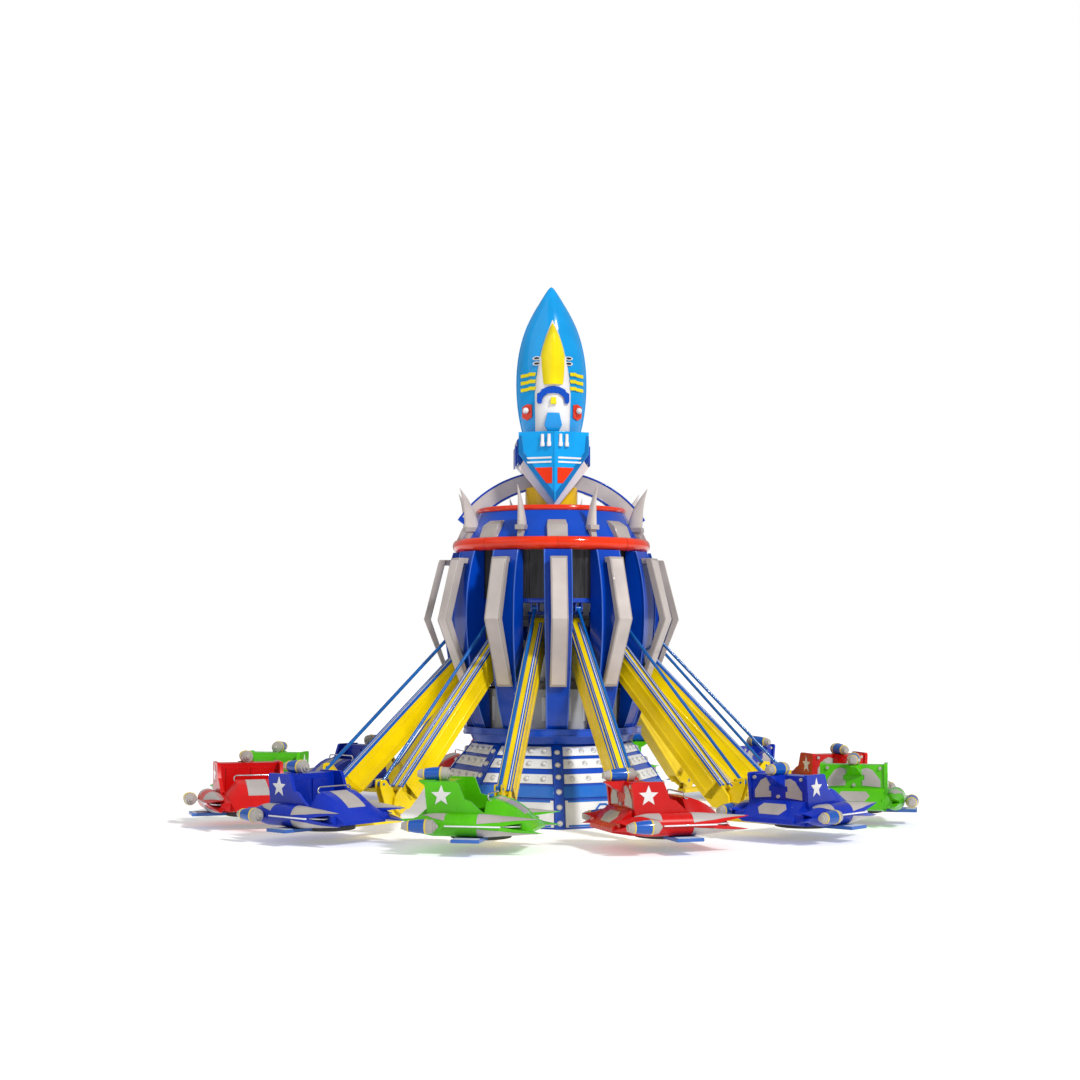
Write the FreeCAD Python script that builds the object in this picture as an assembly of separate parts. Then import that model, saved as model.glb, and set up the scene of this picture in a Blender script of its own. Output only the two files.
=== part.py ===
"""Spinning plane ride: twelve two-seat planes on lifting arms round a rocket tower.

Millimetres, +Z up, origin at ground level on the turning axis, the ride's front towards -Y.
Everything that repeats round the axis is drawn once in a local frame (X outwards, Y the way the
planes fly, Z up) and turned to its azimuth, which is counted from the front towards +X.
"""
import FreeCAD, Part
import math
import os

os.makedirs("parts", exist_ok=True)
V = FreeCAD.Vector

# ---- how often things repeat ------------------------------------------------
ARMS = 12
CROWN_SPIKES = 8
SKIRT_SIDES = 8
ARM_STEP = 360.0 / ARMS
ARM_PHASE = ARM_STEP / 2

# ---- clearances -------------------------------------------------------------
RUNNING = 0.05            # radial, shaft in a bore
OPEN_PIVOT = 1.0          # radial, lower end of a levelling rod
CHEEK_GAP = 2.5           # flat gap between a fork and what turns in it
BODY_GAP = 0.4            # between curved faces that only meet
SEAT = 0.05               # under a plate or rib that is bolted to a slanted or turned face

# ---- arm and levelling rod --------------------------------------------------
PIVOT_R, PIVOT_Z = 1050.0, 3080.0
KNUCKLE_R, KNUCKLE_Z = 3620.0, 400.0
ROD_DR, ROD_DZ = 280.0, 370.0
ARM_W, ARM_DEPTH = 235.0, 390.0
ARM_TAIL, ARM_STOP, ARM_WALL, ARM_HEAD = 150.0, 220.0, 12.0, 320.0
TONGUE_W, TONGUE_R = 76.0, 70.0
ARM_PIN_R, KNUCKLE_PIN_R, ROD_PIN_R = 40.0, 34.0, 18.0
ROD_R, ROD_EYE_R = 25.0, 42.0
LUG_T, LUG_R, LUG_LIP = 16.0, 1135.0, 80.0
CHEEK_T = 20.0

# ---- tower ------------------------------------------------------------------
COLUMN_R, COLUMN_WALL = 750.0, 12.0
DECK_R, DECK_Z, DECK_T = 1460.0, 1400.0, 120.0
LOWER_DRUM_R, LOWER_DRUM_TOP, SHELL = 1260.0, 2150.0, 15.0
RING_BEAM_Z, RING_BEAM_T, RING_BEAM_BORE = 3540.0, 70.0, 600.0
DRUM_R, DRUM_TOP = 1440.0, 4390.0
RIB_BULGE_R, RIB_BULGE_Z = 1790.0, 3430.0
RIB_TOP_OUT, RIB_FOOT_OUT = 1640.0, 1400.0
RIB_FOOT_R, RIB_FOOT_W, RIB_TOP_W = 1280.0, 170.0, 220.0
BAR_W, BAR_T = 270.0, 115.0
BAR_HANG = 120.0
BAR_TOP, BAR_ELBOW, BAR_FOOT = (DRUM_TOP - BAR_HANG, 1880.0), (3280.0, 2130.0), (2200.0, 1700.0)
BAR_FOOT_T, TIE_H, TIE_W = 60.0, 90.0, 200.0

# ---- crown and rocket -------------------------------------------------------
RED_R, RED_BORE, RED_T = 1650.0, 1200.0, 200.0
CROWN_FOOT_R, CROWN_TOP_R, CROWN_H, CROWN_WALL = 1520.0, 1230.0, 450.0, 20.0
CAP_R, CAP_T = 1250.0, 90.0
NECK_R, NECK_H = 450.0, 350.0
CORE_X, CORE_Y, CORE_H = 600.0, 460.0, 880.0
ARCH_HALF, ARCH_RISE, ARCH_BAND, ARCH_Y = 1570.0, 830.0, 300.0, 150.0
ARCH_UP, BLOCK_H = 360.0, 290.0
HULL_DEPTH = 0.8
HULL_TIP_R = 12.0
HULL_LINES = [(0, 465), (540, 560), (930, 585), (1340, 545), (1740, 440), (2140, 270),
              (2390, 120), (2530, HULL_TIP_R)]
PROW_HALF, PROW_TALL, PROW_SQUARE = 580.0, 1180.0, 360.0
PROW_RIDGE, PROW_SIDE, PROW_BACK, PROW_LIP = 900.0, 640.0, 600.0, 50.0

# ---- static base ------------------------------------------------------------
PLATE_R, PLATE_T, SILL_W = 900.0, 40.0, 120.0
BOLT_PCD, BOLT_COUNT, BOLT_R = 1500.0, 8, 14.0
PEDESTAL_R, PEDESTAL_WALL, PEDESTAL_TOP = 380.0, 15.0, 1230.0
FLANGE_R, FLANGE_T = 545.0, 30.0
RACE_R, RACE_H, RACE_IN = 470.0, 100.0, 370.0
GEAR_MODULE, GEAR_TEETH, PINION_TEETH = 12.0, 100, 17
GEAR_H, PINION_SHAFT_R = 80.0, 40.0
MOTOR_R, MOTOR_H, SHELF_T = 105.0, 420.0, 25.0
SKIRT_LINES = [(0, 2130), (250, 2010), (650, 1810), (890, 1630), (1270, 1310)]
SKIRT_WALL, PANEL_T, PANEL_MARGIN = 30.0, 12.0, 95.0
PANEL_ROWS = [(680, 820), (905, 1045), (1095, 1235)]
BIG_PANEL = (20, 430)
LAMP_R, LAMP_T, LAMPS = 42.0, 25.0, 4
RIB_LAMPS = (90, 330, 560, 780, 960, 1150)

# ---- planes -----------------------------------------------------------------
PLANE_R = 5000.0
DISC_R, DISC_Z, DISC_T = 430.0, 180.0, 70.0
FOOT_W, FOOT_T = 180.0, 75.0
FLOOR_T = 40.0
FLOAT_V, FLOAT_R, FLOAT_HALF, FLOAT_LIFT = 635.0, 157.0, 1020.0, 5.0
HOOD_HALF, HOOD_BACK, HOOD_TOP, HOOD_NOSE = 440.0, 150.0, 750.0, 980.0
WALL_T, WALL_TOP = 40.0, 560.0
SEAT_BACK, SEAT_H = 330.0, 130.0
BACK_T, BACK_HALF, BACK_TOP = 90.0, 550.0, 990.0
WING_TAIL, WING_FRONT, WING_LOW, WING_T = 680.0, 200.0, 570.0, 40.0
TAIL_END, TAIL_HALF = 950.0, 400.0
TOP_POD_R, TOP_POD_Z, TOP_POD_LONG = 100.0, 1060.0, 448.0
SIDE_POD_R, SIDE_POD_LONG, POD_TAIL = 107.0, 500.0, 920.0
RAIL_HALF, RAIL_TOP, RAIL_R = 315.0, 820.0, 17.0
STEP_HALF, STEP_END, STEP_Z, STEP_T = 200.0, 970.0, 200.0, 50.0

# ---- worked out from the above ----------------------------------------------
PEDESTAL_FOOT = PLATE_T
GEAR_Z = PEDESTAL_TOP + RACE_H - GEAR_H + RUNNING * 100
DECK_TOP = DECK_Z + DECK_T
RED_TOP = DRUM_TOP + RED_T
CROWN_TOP = RED_TOP + CROWN_H
CAP_TOP = CROWN_TOP + CAP_T
NECK_TOP = CAP_TOP + NECK_H
CORE_TOP = NECK_TOP + CORE_H
ARM_L = math.hypot(KNUCKLE_R - PIVOT_R, PIVOT_Z - KNUCKLE_Z)
ARM_D = ((KNUCKLE_R - PIVOT_R) / ARM_L, (KNUCKLE_Z - PIVOT_Z) / ARM_L)
ARM_N = (-ARM_D[1], ARM_D[0])
LUG_IN = ARM_W / 2 + CHEEK_GAP
CHEEK_IN = TONGUE_W / 2 + CHEEK_GAP
GEAR_PITCH_R = GEAR_MODULE * GEAR_TEETH / 2
PINION_PITCH_R = GEAR_MODULE * PINION_TEETH / 2
PINION_X = GEAR_PITCH_R + PINION_PITCH_R
FLOOR_Z = DISC_Z + DISC_T
FLOOR_TOP = FLOOR_Z + FLOOR_T
FLOAT_Z = FLOOR_Z + FLOAT_LIFT + FLOAT_R


def box(x0, x1, y0, y1, z0, z1):
    """Box between two corners."""
    return Part.makeBox(x1 - x0, y1 - y0, z1 - z0, V(x0, y0, z0))


def hull_of(rings):
    """Closed solid through rings of points, each ring flat-sided against the next."""
    faces = [Part.Face(Part.makePolygon(rings[0] + rings[0][:1])),
             Part.Face(Part.makePolygon(rings[-1] + rings[-1][:1]))]
    for low, high in zip(rings, rings[1:]):
        for i in range(len(low)):
            j = (i + 1) % len(low)
            faces.append(Part.Face(Part.makePolygon([low[i], low[j], high[j], high[i], low[i]])))
    solid = Part.makeSolid(Part.makeShell(faces))
    if solid.Volume < 0:
        solid.reverse()
    return solid


def stack(stations):
    """Upright box whose depth and width change with height: (z, inner x, outer x, half width)."""
    return hull_of([[V(a, -w, z), V(b, -w, z), V(b, w, z), V(a, w, z)]
                    for z, a, b, w in stations])


def ngon(sides, apothem, z, turn=0.0, squash=1.0):
    """Corners of a regular polygon whose flats lie at the given apothem; a flat faces turn=0."""
    r = apothem / math.cos(math.pi / sides)
    angles = [turn + 360.0 * (i + 0.5) / sides for i in range(sides)]
    return [V(r * math.cos(math.radians(a)), squash * r * math.sin(math.radians(a)), z)
            for a in angles]


def drum(sides, apothem, wall, z0, z1, turn=0.0):
    """Flat-sided tube."""
    outer = hull_of([ngon(sides, apothem, z0, turn), ngon(sides, apothem, z1, turn)])
    inner = hull_of([ngon(sides, apothem - wall, z0, turn), ngon(sides, apothem - wall, z1, turn)])
    return outer.cut(inner)


def prism(points, half, lift=0.0):
    """Plate in the local X-Z plane, from y=-half to +half, moved by lift along Y."""
    ring = [V(x, -half + lift, z) for x, z in points]
    return Part.Face(Part.makePolygon(ring + ring[:1])).extrude(V(0, 2 * half, 0))


def prism_y(points, x0, x1):
    """Block with its outline in the local Y-Z plane, from x0 to x1."""
    ring = [V(x0, y, z) for y, z in points]
    return Part.Face(Part.makePolygon(ring + ring[:1])).extrude(V(x1 - x0, 0, 0))


def pin_y(x, z, r, half, lift=0.0):
    """Round pin along Y."""
    return Part.makeCylinder(r, 2 * half, V(x, lift - half, z), V(0, 1, 0))


def turned(shape, azimuth):
    """The shape, drawn with X outwards, set at its azimuth."""
    copy = shape.copy()
    copy.rotate(V(0, 0, 0), V(0, 0, 1), azimuth - 90.0)
    return copy


def around(shapes, count, phase=0.0):
    """Every shape, repeated evenly round the axis."""
    return [turned(s, phase + 360.0 * k / count) for k in range(count) for s in shapes]


def save(node, solids):
    """Write one node as a STEP file of separate solids."""
    shape = solids[0] if len(solids) == 1 else Part.makeCompound(solids)
    shape.exportStep("parts/%s.step" % node)
    print(node, len(solids), shape.isValid(), round(shape.Volume / 1e9, 4))


def line_at(lines, z):
    """Value on a run of straight lines given as (z, value)."""
    for (z0, v0), (z1, v1) in zip(lines, lines[1:]):
        if z <= z1:
            return v0 + (v1 - v0) * (z - z0) / (z1 - z0)
    return lines[-1][1]


# ---- base: foundation plate, pedestal, slewing race, drive ------------------
plate = Part.makeCylinder(PLATE_R, PLATE_T)
for i in range(BOLT_COUNT):
    a = 2 * math.pi * i / BOLT_COUNT
    at = V(BOLT_PCD / 2 * math.cos(a), BOLT_PCD / 2 * math.sin(a), 0)
    plate = plate.cut(Part.makeCylinder(BOLT_R, PLATE_T, at))
flange_z = PEDESTAL_TOP - FLANGE_T
post = Part.makeCylinder(PEDESTAL_R, flange_z - PEDESTAL_FOOT, V(0, 0, PEDESTAL_FOOT))
post = post.cut(Part.makeCylinder(PEDESTAL_R - PEDESTAL_WALL, flange_z, V(0, 0, PEDESTAL_FOOT)))
flange = Part.makeCylinder(FLANGE_R, FLANGE_T, V(0, 0, flange_z))
flange = flange.cut(Part.makeCylinder(PEDESTAL_R - PEDESTAL_WALL, FLANGE_T, V(0, 0, flange_z)))
race = Part.makeCylinder(RACE_R, RACE_H, V(0, 0, PEDESTAL_TOP))
race = race.cut(Part.makeCylinder(RACE_IN, RACE_H, V(0, 0, PEDESTAL_TOP)))
shelf_z = flange_z - SHELF_T
shelf = box(PEDESTAL_R + 5, PINION_X + MOTOR_R, -MOTOR_R, MOTOR_R, shelf_z, flange_z)
shelf = shelf.cut(Part.makeCylinder(PINION_SHAFT_R + RUNNING, SHELF_T, V(PINION_X, 0, shelf_z)))
save("pedestal", [post.fuse(flange), race, shelf])

motor = Part.makeCylinder(MOTOR_R, MOTOR_H, V(PINION_X, 0, shelf_z - MOTOR_H))
motor = motor.cut(Part.makeCylinder(PINION_SHAFT_R + RUNNING, 120, V(PINION_X, 0, shelf_z - 120)))
save("drive_motor", [motor])


def gear_outline(teeth, z, start):
    """Straight-flanked tooth outline: root, flank, tip; thinned for backlash."""
    pitch_r = GEAR_MODULE * teeth / 2
    root, tip = pitch_r - 1.25 * GEAR_MODULE, pitch_r + 0.8 * GEAR_MODULE
    step = 2 * math.pi / teeth
    points = []
    for i in range(teeth):
        mid = start + i * step
        for share, r in ((-0.33, root), (-0.12, tip), (0.12, tip), (0.33, root)):
            points.append(V(r * math.cos(mid + share * step), r * math.sin(mid + share * step), z))
    return points


def toothed(teeth, z0, z1, start):
    """Toothed wheel blank."""
    ring = gear_outline(teeth, z0, start)
    return Part.Face(Part.makePolygon(ring + ring[:1])).extrude(V(0, 0, z1 - z0))


gear = toothed(GEAR_TEETH, GEAR_Z, DECK_Z, 0.0)
gear = gear.cut(Part.makeCylinder(RACE_R + BODY_GAP, DECK_Z, V(0, 0, 0)))
save("slew_ring", [gear])

pinion = toothed(PINION_TEETH, GEAR_Z + 5, GEAR_Z + GEAR_H - 10, math.pi + math.pi / PINION_TEETH)
pinion.translate(V(PINION_X, 0, 0))
shaft = Part.makeCylinder(PINION_SHAFT_R, GEAR_Z + 5 - shelf_z + 115, V(PINION_X, 0, shelf_z - 115))
save("drive_pinion", [pinion.fuse(shaft)])


# ---- skirt ------------------------------------------------------------------
FACET = 180.0 / SKIRT_SIDES
APOTHEM = [(z, r * math.cos(math.radians(FACET))) for z, r in SKIRT_LINES]


def facet_plate(z0, z1, thick, margin):
    """Plate lying on one skirt facet between two heights."""
    heights = [z0] + [z for z, r in SKIRT_LINES if z0 < z < z1] + [z1]
    tan = math.tan(math.radians(FACET))
    return stack([(z, line_at(APOTHEM, z) + SEAT, line_at(APOTHEM, z) + thick,
                   line_at(APOTHEM, z) * tan - margin) for z in heights])


outer = hull_of([ngon(SKIRT_SIDES, a, z, FACET) for z, a in APOTHEM])
inner = hull_of([ngon(SKIRT_SIDES, a - SKIRT_WALL, z, FACET) for z, a in APOTHEM])
skirt_phase = FACET
save("skirt_frame", [turned(outer.cut(inner), 0)])
sill = stack([(z, PLATE_R - 2 * SILL_W, line_at(APOTHEM, z) - SKIRT_WALL, SILL_W / 2)
              for z in (0.0, PLATE_T)])
for sill_arm in around([sill], SKIRT_SIDES // 2, skirt_phase):
    plate = plate.fuse(sill_arm)
save("base_plate", [plate])
rows = [facet_plate(z0, z1, PANEL_T, PANEL_MARGIN) for z0, z1 in PANEL_ROWS]
rows.append(facet_plate(BIG_PANEL[0], BIG_PANEL[1], PANEL_T, PANEL_MARGIN))
save("skirt_panels", around(rows, SKIRT_SIDES, skirt_phase))


def lamp(x, y, z, slope):
    """Round lamp standing square to a facet that leans back by slope."""
    normal = V(math.cos(slope), 0, math.sin(slope))
    side = V(0, 1, 0)
    up = normal.cross(side)
    ring = []
    for i in range(8):
        a = 2 * math.pi * (i + 0.5) / 8
        ring.append(V(x, y, z) + side * (LAMP_R * math.cos(a)) + up * (LAMP_R * math.sin(a)))
    return Part.Face(Part.makePolygon(ring + ring[:1])).extrude(normal * LAMP_T)


lamps = []
for z0, z1 in PANEL_ROWS:
    mid = (z0 + z1) / 2
    slope = math.atan2(line_at(APOTHEM, z0) - line_at(APOTHEM, z1), z1 - z0)
    half = line_at(APOTHEM, mid) * math.tan(math.radians(FACET)) - PANEL_MARGIN
    for i in range(LAMPS):
        y = half * (2 * i + 1 - LAMPS) / LAMPS
        lamps.append(lamp(line_at(APOTHEM, mid) + PANEL_T, y, mid, slope))
corner_lamps = []
for z in RIB_LAMPS:
    slope = math.atan2(line_at(SKIRT_LINES, z - 40) - line_at(SKIRT_LINES, z + 40), 80)
    corner_lamps.append(lamp(line_at(SKIRT_LINES, z) + BODY_GAP, 0, z, slope))
save("skirt_lamps", around(lamps, SKIRT_SIDES, skirt_phase) + around(corner_lamps, SKIRT_SIDES))


# ---- turning tower ----------------------------------------------------------
deck = hull_of([ngon(ARMS, DECK_R, DECK_Z), ngon(ARMS, DECK_R, DECK_TOP)])
deck = deck.cut(Part.makeCylinder(RACE_IN, DECK_TOP))
save("rotor_deck", [turned(deck, 0)])
save("rotor_column", [turned(drum(ARMS, COLUMN_R, COLUMN_WALL, DECK_TOP, RING_BEAM_Z, ARM_PHASE), 0)])
save("lower_drum", [turned(drum(ARMS, LOWER_DRUM_R, SHELL, DECK_TOP, LOWER_DRUM_TOP), 0)])
beam = hull_of([ngon(ARMS, DRUM_R, RING_BEAM_Z), ngon(ARMS, DRUM_R, RING_BEAM_Z + RING_BEAM_T)])
beam = beam.cut(Part.makeCylinder(RING_BEAM_BORE, DRUM_TOP))
shell = drum(ARMS, DRUM_R, SHELL, RING_BEAM_Z + RING_BEAM_T, DRUM_TOP)
save("upper_drum", [turned(beam, 0), turned(shell, 0)])

RIB_Z = [DECK_TOP + (RIB_BULGE_Z - DECK_TOP) * i / 4 for i in range(4)]
RIB_Z += [RIB_BULGE_Z + (DRUM_TOP - RIB_BULGE_Z) * i / 3 for i in range(4)]


def rib_out(z):
    """Outer radius of a rib at a height: two parabolas that meet at the bulge."""
    end_r, end_z = (RIB_TOP_OUT, DRUM_TOP) if z > RIB_BULGE_Z else (RIB_FOOT_OUT, DECK_TOP)
    return RIB_BULGE_R - (RIB_BULGE_R - end_r) * ((z - RIB_BULGE_Z) / (end_z - RIB_BULGE_Z)) ** 2


RIB_LINE = [(z, rib_out(z)) for z in RIB_Z]
RIB_IN = [(DECK_TOP, RIB_FOOT_R), (RIB_BULGE_Z, DRUM_R + SEAT), (DRUM_TOP, DRUM_R + SEAT)]
RIB_HALF = [(DECK_TOP, RIB_FOOT_W), (RIB_BULGE_Z, RIB_TOP_W), (DRUM_TOP, RIB_TOP_W)]
rib = stack([(z, line_at(RIB_IN, z), r, line_at(RIB_HALF, z)) for z, r in RIB_LINE])
save("ribs", around([rib], ARMS))

BAR_LINE = [(BAR_FOOT[0], BAR_FOOT[1]), (BAR_ELBOW[0], BAR_ELBOW[1]), (BAR_TOP[0], BAR_TOP[1])]
BAR_THICK = [(BAR_FOOT[0], BAR_FOOT_T), (BAR_ELBOW[0], BAR_T), (BAR_TOP[0], BAR_T)]
bar = stack([(z, r - line_at(BAR_THICK, z), r, BAR_W / 2) for z, r in BAR_LINE])


def tie(z0, z1):
    """Bracket that fills the gap between a rib's face and its bar."""
    heights = [z0] + [z for z in RIB_Z if z0 < z < z1] + [z1]
    return stack([(z, line_at(RIB_LINE, z), line_at(BAR_LINE, z) - line_at(BAR_THICK, z),
                   TIE_W / 2) for z in heights])


ties = [tie(BAR_TOP[0] - TIE_H, BAR_TOP[0]), tie(BAR_FOOT[0] + TIE_H, BAR_FOOT[0] + 2 * TIE_H)]
save("rib_bars", around([bar] + ties, ARMS))

# pivot lugs on the column, rod lugs under the ring beam
lug_mid = LUG_IN + LUG_T / 2
lug_line = [(COLUMN_R, PIVOT_Z - 2 * LUG_LIP), (LUG_R, PIVOT_Z - LUG_LIP),
            (LUG_R, PIVOT_Z + LUG_LIP), (COLUMN_R, PIVOT_Z + LUG_LIP)]
rod_top = (PIVOT_R + ROD_DR, PIVOT_Z + ROD_DZ)
rod_lug_line = [(rod_top[0] - 50, rod_top[1] - 45), (rod_top[0] + 50, rod_top[1] - 45),
                (rod_top[0] + 65, RING_BEAM_Z), (rod_top[0] - 65, RING_BEAM_Z)]
lugs = []
for side in (-1, 1):
    lug = prism(lug_line, LUG_T / 2, side * lug_mid)
    lugs.append(lug.cut(pin_y(PIVOT_R, PIVOT_Z, ARM_PIN_R + RUNNING, 400)))
    ear = prism(rod_lug_line, CHEEK_T / 2, side * (CHEEK_IN + CHEEK_T / 2))
    lugs.append(ear.cut(pin_y(rod_top[0], rod_top[1], ROD_PIN_R + RUNNING, 400)))
save("arm_brackets", around(lugs, ARMS, ARM_PHASE))

drive_y = LUG_IN + LUG_T
gearbox = box(PIVOT_R - 85, PIVOT_R + 85, drive_y, drive_y + 98, PIVOT_Z - 85, PIVOT_Z + 85)
lift_motor = box(PIVOT_R - 40, PIVOT_R + 40, drive_y + 9, drive_y + 89, PIVOT_Z - 320, PIVOT_Z - 85)
save("lift_drives", around([gearbox.fuse(lift_motor)], ARMS, ARM_PHASE))

# ---- crown ------------------------------------------------------------------
big = Part.makeCylinder(RED_R, RED_T, V(0, 0, DRUM_TOP))
big = big.cut(Part.makeCylinder(RED_BORE, RED_T, V(0, 0, DRUM_TOP)))
cap = Part.makeCylinder(CAP_R, CAP_T, V(0, 0, CROWN_TOP))
save("red_rings", [big, cap])
cone = Part.makeCone(CROWN_FOOT_R, CROWN_TOP_R, CROWN_H, V(0, 0, RED_TOP))
hollow = Part.makeCone(CROWN_FOOT_R - CROWN_WALL, CROWN_TOP_R - CROWN_WALL, CROWN_H,
                       V(0, 0, RED_TOP))
save("crown_shell", [cone.cut(hollow)])
CROWN_LINE = [(RED_TOP, CROWN_FOOT_R + BODY_GAP), (CROWN_TOP, CROWN_TOP_R + BODY_GAP)]


def on_crown(z, out, half):
    """Station of a piece whose back lies on the crown."""
    return (z, line_at(CROWN_LINE, z), line_at(CROWN_LINE, z) + out, half)


block = stack([on_crown(RED_TOP, 70, 165), on_crown(RED_TOP + BLOCK_H - 90, 110, 165),
               on_crown(RED_TOP + BLOCK_H, 20, 165)])
horn_foot = stack([on_crown(RED_TOP, 60, 40), on_crown(RED_TOP + 130, 75, 40)])
horn = stack([on_crown(RED_TOP + 130, 150, 75), on_crown(RED_TOP + 260, 190, 55),
              on_crown(RED_TOP + 400, 190, 38), (CROWN_TOP + 200, 1375, 1490, 22),
              (CROWN_TOP + 400, 1500, 1512, 6)])
half_step = 180.0 / CROWN_SPIKES
save("crown_horns", around([block], CROWN_SPIKES) + around([horn_foot, horn], CROWN_SPIKES, half_step))

# arch halves: a band between two circular arcs, stopped by the rocket's core and the crown
ARCH_OUT_R = (ARCH_HALF ** 2 + ARCH_RISE ** 2) / (2 * ARCH_RISE)
ARCH_C = RED_TOP + ARCH_UP + ARCH_RISE - ARCH_OUT_R
arch_in_r = ARCH_OUT_R - ARCH_BAND
arch_end = math.asin(ARCH_HALF / ARCH_OUT_R)
arch_top = math.asin(CORE_X / arch_in_r)
ARCH_SEGMENTS = 6
arch_angles = [arch_top + (arch_end - arch_top) * i / ARCH_SEGMENTS for i in range(ARCH_SEGMENTS + 1)]
outline = [(ARCH_OUT_R * math.sin(a), ARCH_C + ARCH_OUT_R * math.cos(a)) for a in arch_angles]
outline.insert(0, (CORE_X, ARCH_C + math.sqrt(ARCH_OUT_R ** 2 - CORE_X ** 2)))
outline += [(arch_in_r * math.sin(a), ARCH_C + arch_in_r * math.cos(a))
            for a in reversed(arch_angles)]
half_arch = prism(outline, ARCH_Y / 2)
keep_out = Part.makeCylinder(CAP_R + BODY_GAP, CAP_T + 10, V(0, 0, CROWN_TOP - 10))
keep_out = keep_out.fuse(Part.makeCone(CROWN_FOOT_R + BODY_GAP, CROWN_TOP_R + BODY_GAP, CROWN_H,
                                       V(0, 0, RED_TOP)))
half_arch = half_arch.cut(keep_out)
half_arch = half_arch.cut(box(0, 2 * RED_R, -RED_R, RED_R, 0, RED_TOP + BLOCK_H + BODY_GAP))
half_arch = max(half_arch.Solids, key=lambda s: s.Volume)
save("arch", [turned(half_arch, 90), turned(half_arch, 270)])
neck = Part.makeCylinder(NECK_R, NECK_H, V(0, 0, CAP_TOP))
save("neck", [neck.cut(Part.makeCylinder(NECK_R - 2 * COLUMN_WALL, NECK_H, V(0, 0, CAP_TOP)))])

# ---- rocket -----------------------------------------------------------------
hull_rings = [ngon(12, half, CORE_TOP + z, 0, HULL_DEPTH) for z, half in HULL_LINES]
save("rocket_hull", [box(-CORE_X, CORE_X, -CORE_Y, CORE_Y, NECK_TOP, CORE_TOP), hull_of(hull_rings)])


def prow_block(lip, y0, y1, top, low):
    """V-shaped block in the X-Z plane, widened by lip along its slanted edges."""
    slope = PROW_HALF / (PROW_TALL - PROW_SQUARE)
    grow = lip * math.hypot(1, slope)
    tip_z = CORE_TOP - PROW_TALL - grow / slope
    wide = (top - tip_z) * slope
    wide = min(wide, PROW_HALF + lip)
    ring = [(-wide, top), (wide, top), (wide, tip_z + wide / slope), ((low - tip_z) * slope, low),
            (-(low - tip_z) * slope, low), (-wide, tip_z + wide / slope)]
    ring = [V(x, y0, z) for x, z in ring]
    return Part.Face(Part.makePolygon(ring + ring[:1])).extrude(V(0, y1 - y0, 0))


prow = prow_block(0, -PROW_RIDGE, -PROW_BACK, CORE_TOP, CORE_TOP - PROW_TALL + 8)
nose = [V(-PROW_HALF, -PROW_BACK, 0), V(-PROW_HALF, -PROW_SIDE, 0), V(0, -PROW_RIDGE, 0),
        V(PROW_HALF, -PROW_SIDE, 0), V(PROW_HALF, -PROW_BACK, 0)]
plan = Part.Face(Part.makePolygon(nose + nose[:1])).extrude(V(0, 0, CORE_TOP))
prow = prow.common(plan)
low_edge = CAP_TOP + 45
liner = prow_block(PROW_LIP, -PROW_BACK, -CORE_Y, CORE_TOP - PROW_SQUARE + 40, low_edge)
save("rocket_prow", [prow, liner])


# ---- arms, levelling rods, planes -------------------------------------------
def on_arm(s, n, base=(PIVOT_R, PIVOT_Z)):
    """Point in the X-Z plane: s along the arm from its pivot, n square to it, upwards."""
    return (base[0] + s * ARM_D[0] + n * ARM_N[0], base[1] + s * ARM_D[1] + n * ARM_N[1])


half_depth = ARM_DEPTH / 2
arm_line = [on_arm(-ARM_TAIL, -half_depth), on_arm(ARM_L - ARM_STOP, -half_depth),
            on_arm(ARM_L - ARM_STOP, half_depth), on_arm(-ARM_TAIL, half_depth)]
tongue_line = [on_arm(ARM_L - ARM_STOP - 20, -TONGUE_R), on_arm(ARM_L, -TONGUE_R),
               on_arm(ARM_L, TONGUE_R), on_arm(ARM_L - ARM_STOP - 20, TONGUE_R)]
arm = prism(arm_line, ARM_W / 2)
hollow_half = half_depth - ARM_WALL
hollow_line = [on_arm(ARM_HEAD, -hollow_half), on_arm(ARM_L - ARM_STOP - 2 * ARM_WALL, -hollow_half),
               on_arm(ARM_L - ARM_STOP - 2 * ARM_WALL, hollow_half), on_arm(ARM_HEAD, hollow_half)]
arm = arm.cut(prism(hollow_line, ARM_W / 2 - ARM_WALL))
arm = arm.fuse(prism(tongue_line, TONGUE_W / 2)).fuse(pin_y(KNUCKLE_R, KNUCKLE_Z, TONGUE_R, TONGUE_W / 2))
arm = arm.fuse(pin_y(PIVOT_R, PIVOT_Z, ARM_PIN_R, LUG_IN + LUG_T - 1))
arm = arm.fuse(pin_y(KNUCKLE_R, KNUCKLE_Z, KNUCKLE_PIN_R, CHEEK_IN + CHEEK_T + 12))

rod_foot = (KNUCKLE_R + ROD_DR, KNUCKLE_Z + ROD_DZ)
rod = Part.makeCylinder(ROD_R, ARM_L, V(rod_top[0], 0, rod_top[1]), V(ARM_D[0], 0, ARM_D[1]))
for x, z in (rod_top, rod_foot):
    rod = rod.fuse(pin_y(x, z, ROD_EYE_R, TONGUE_W / 2))
    rod = rod.fuse(pin_y(x, z, ROD_PIN_R, CHEEK_IN + CHEEK_T + 8))


def pod(x, z, r, y0, y1):
    """Eight-sided engine pod along Y with a coned nose."""
    def ring(y, size):
        return [V(x + p.x, y, z + p.y) for p in ngon(8, size, 0, 0)]
    cone_len = (y1 - y0) / 4
    return hull_of([ring(y0, r), ring(y1 - cone_len, r), ring(y1, r * 0.5)])


def float_body(x):
    """Pontoon: eight-sided, drawn in to a short wedge at both ends."""
    def ring(y, size):
        return [V(x + p.x, y, FLOAT_Z + p.y) for p in ngon(8, size, 0, 0)]
    return hull_of([ring(-FLOAT_HALF, 0.35 * FLOAT_R), ring(-0.6 * FLOAT_HALF, FLOAT_R),
                    ring(0.55 * FLOAT_HALF, FLOAT_R), ring(FLOAT_HALF, 0.25 * FLOAT_R)])


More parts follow.
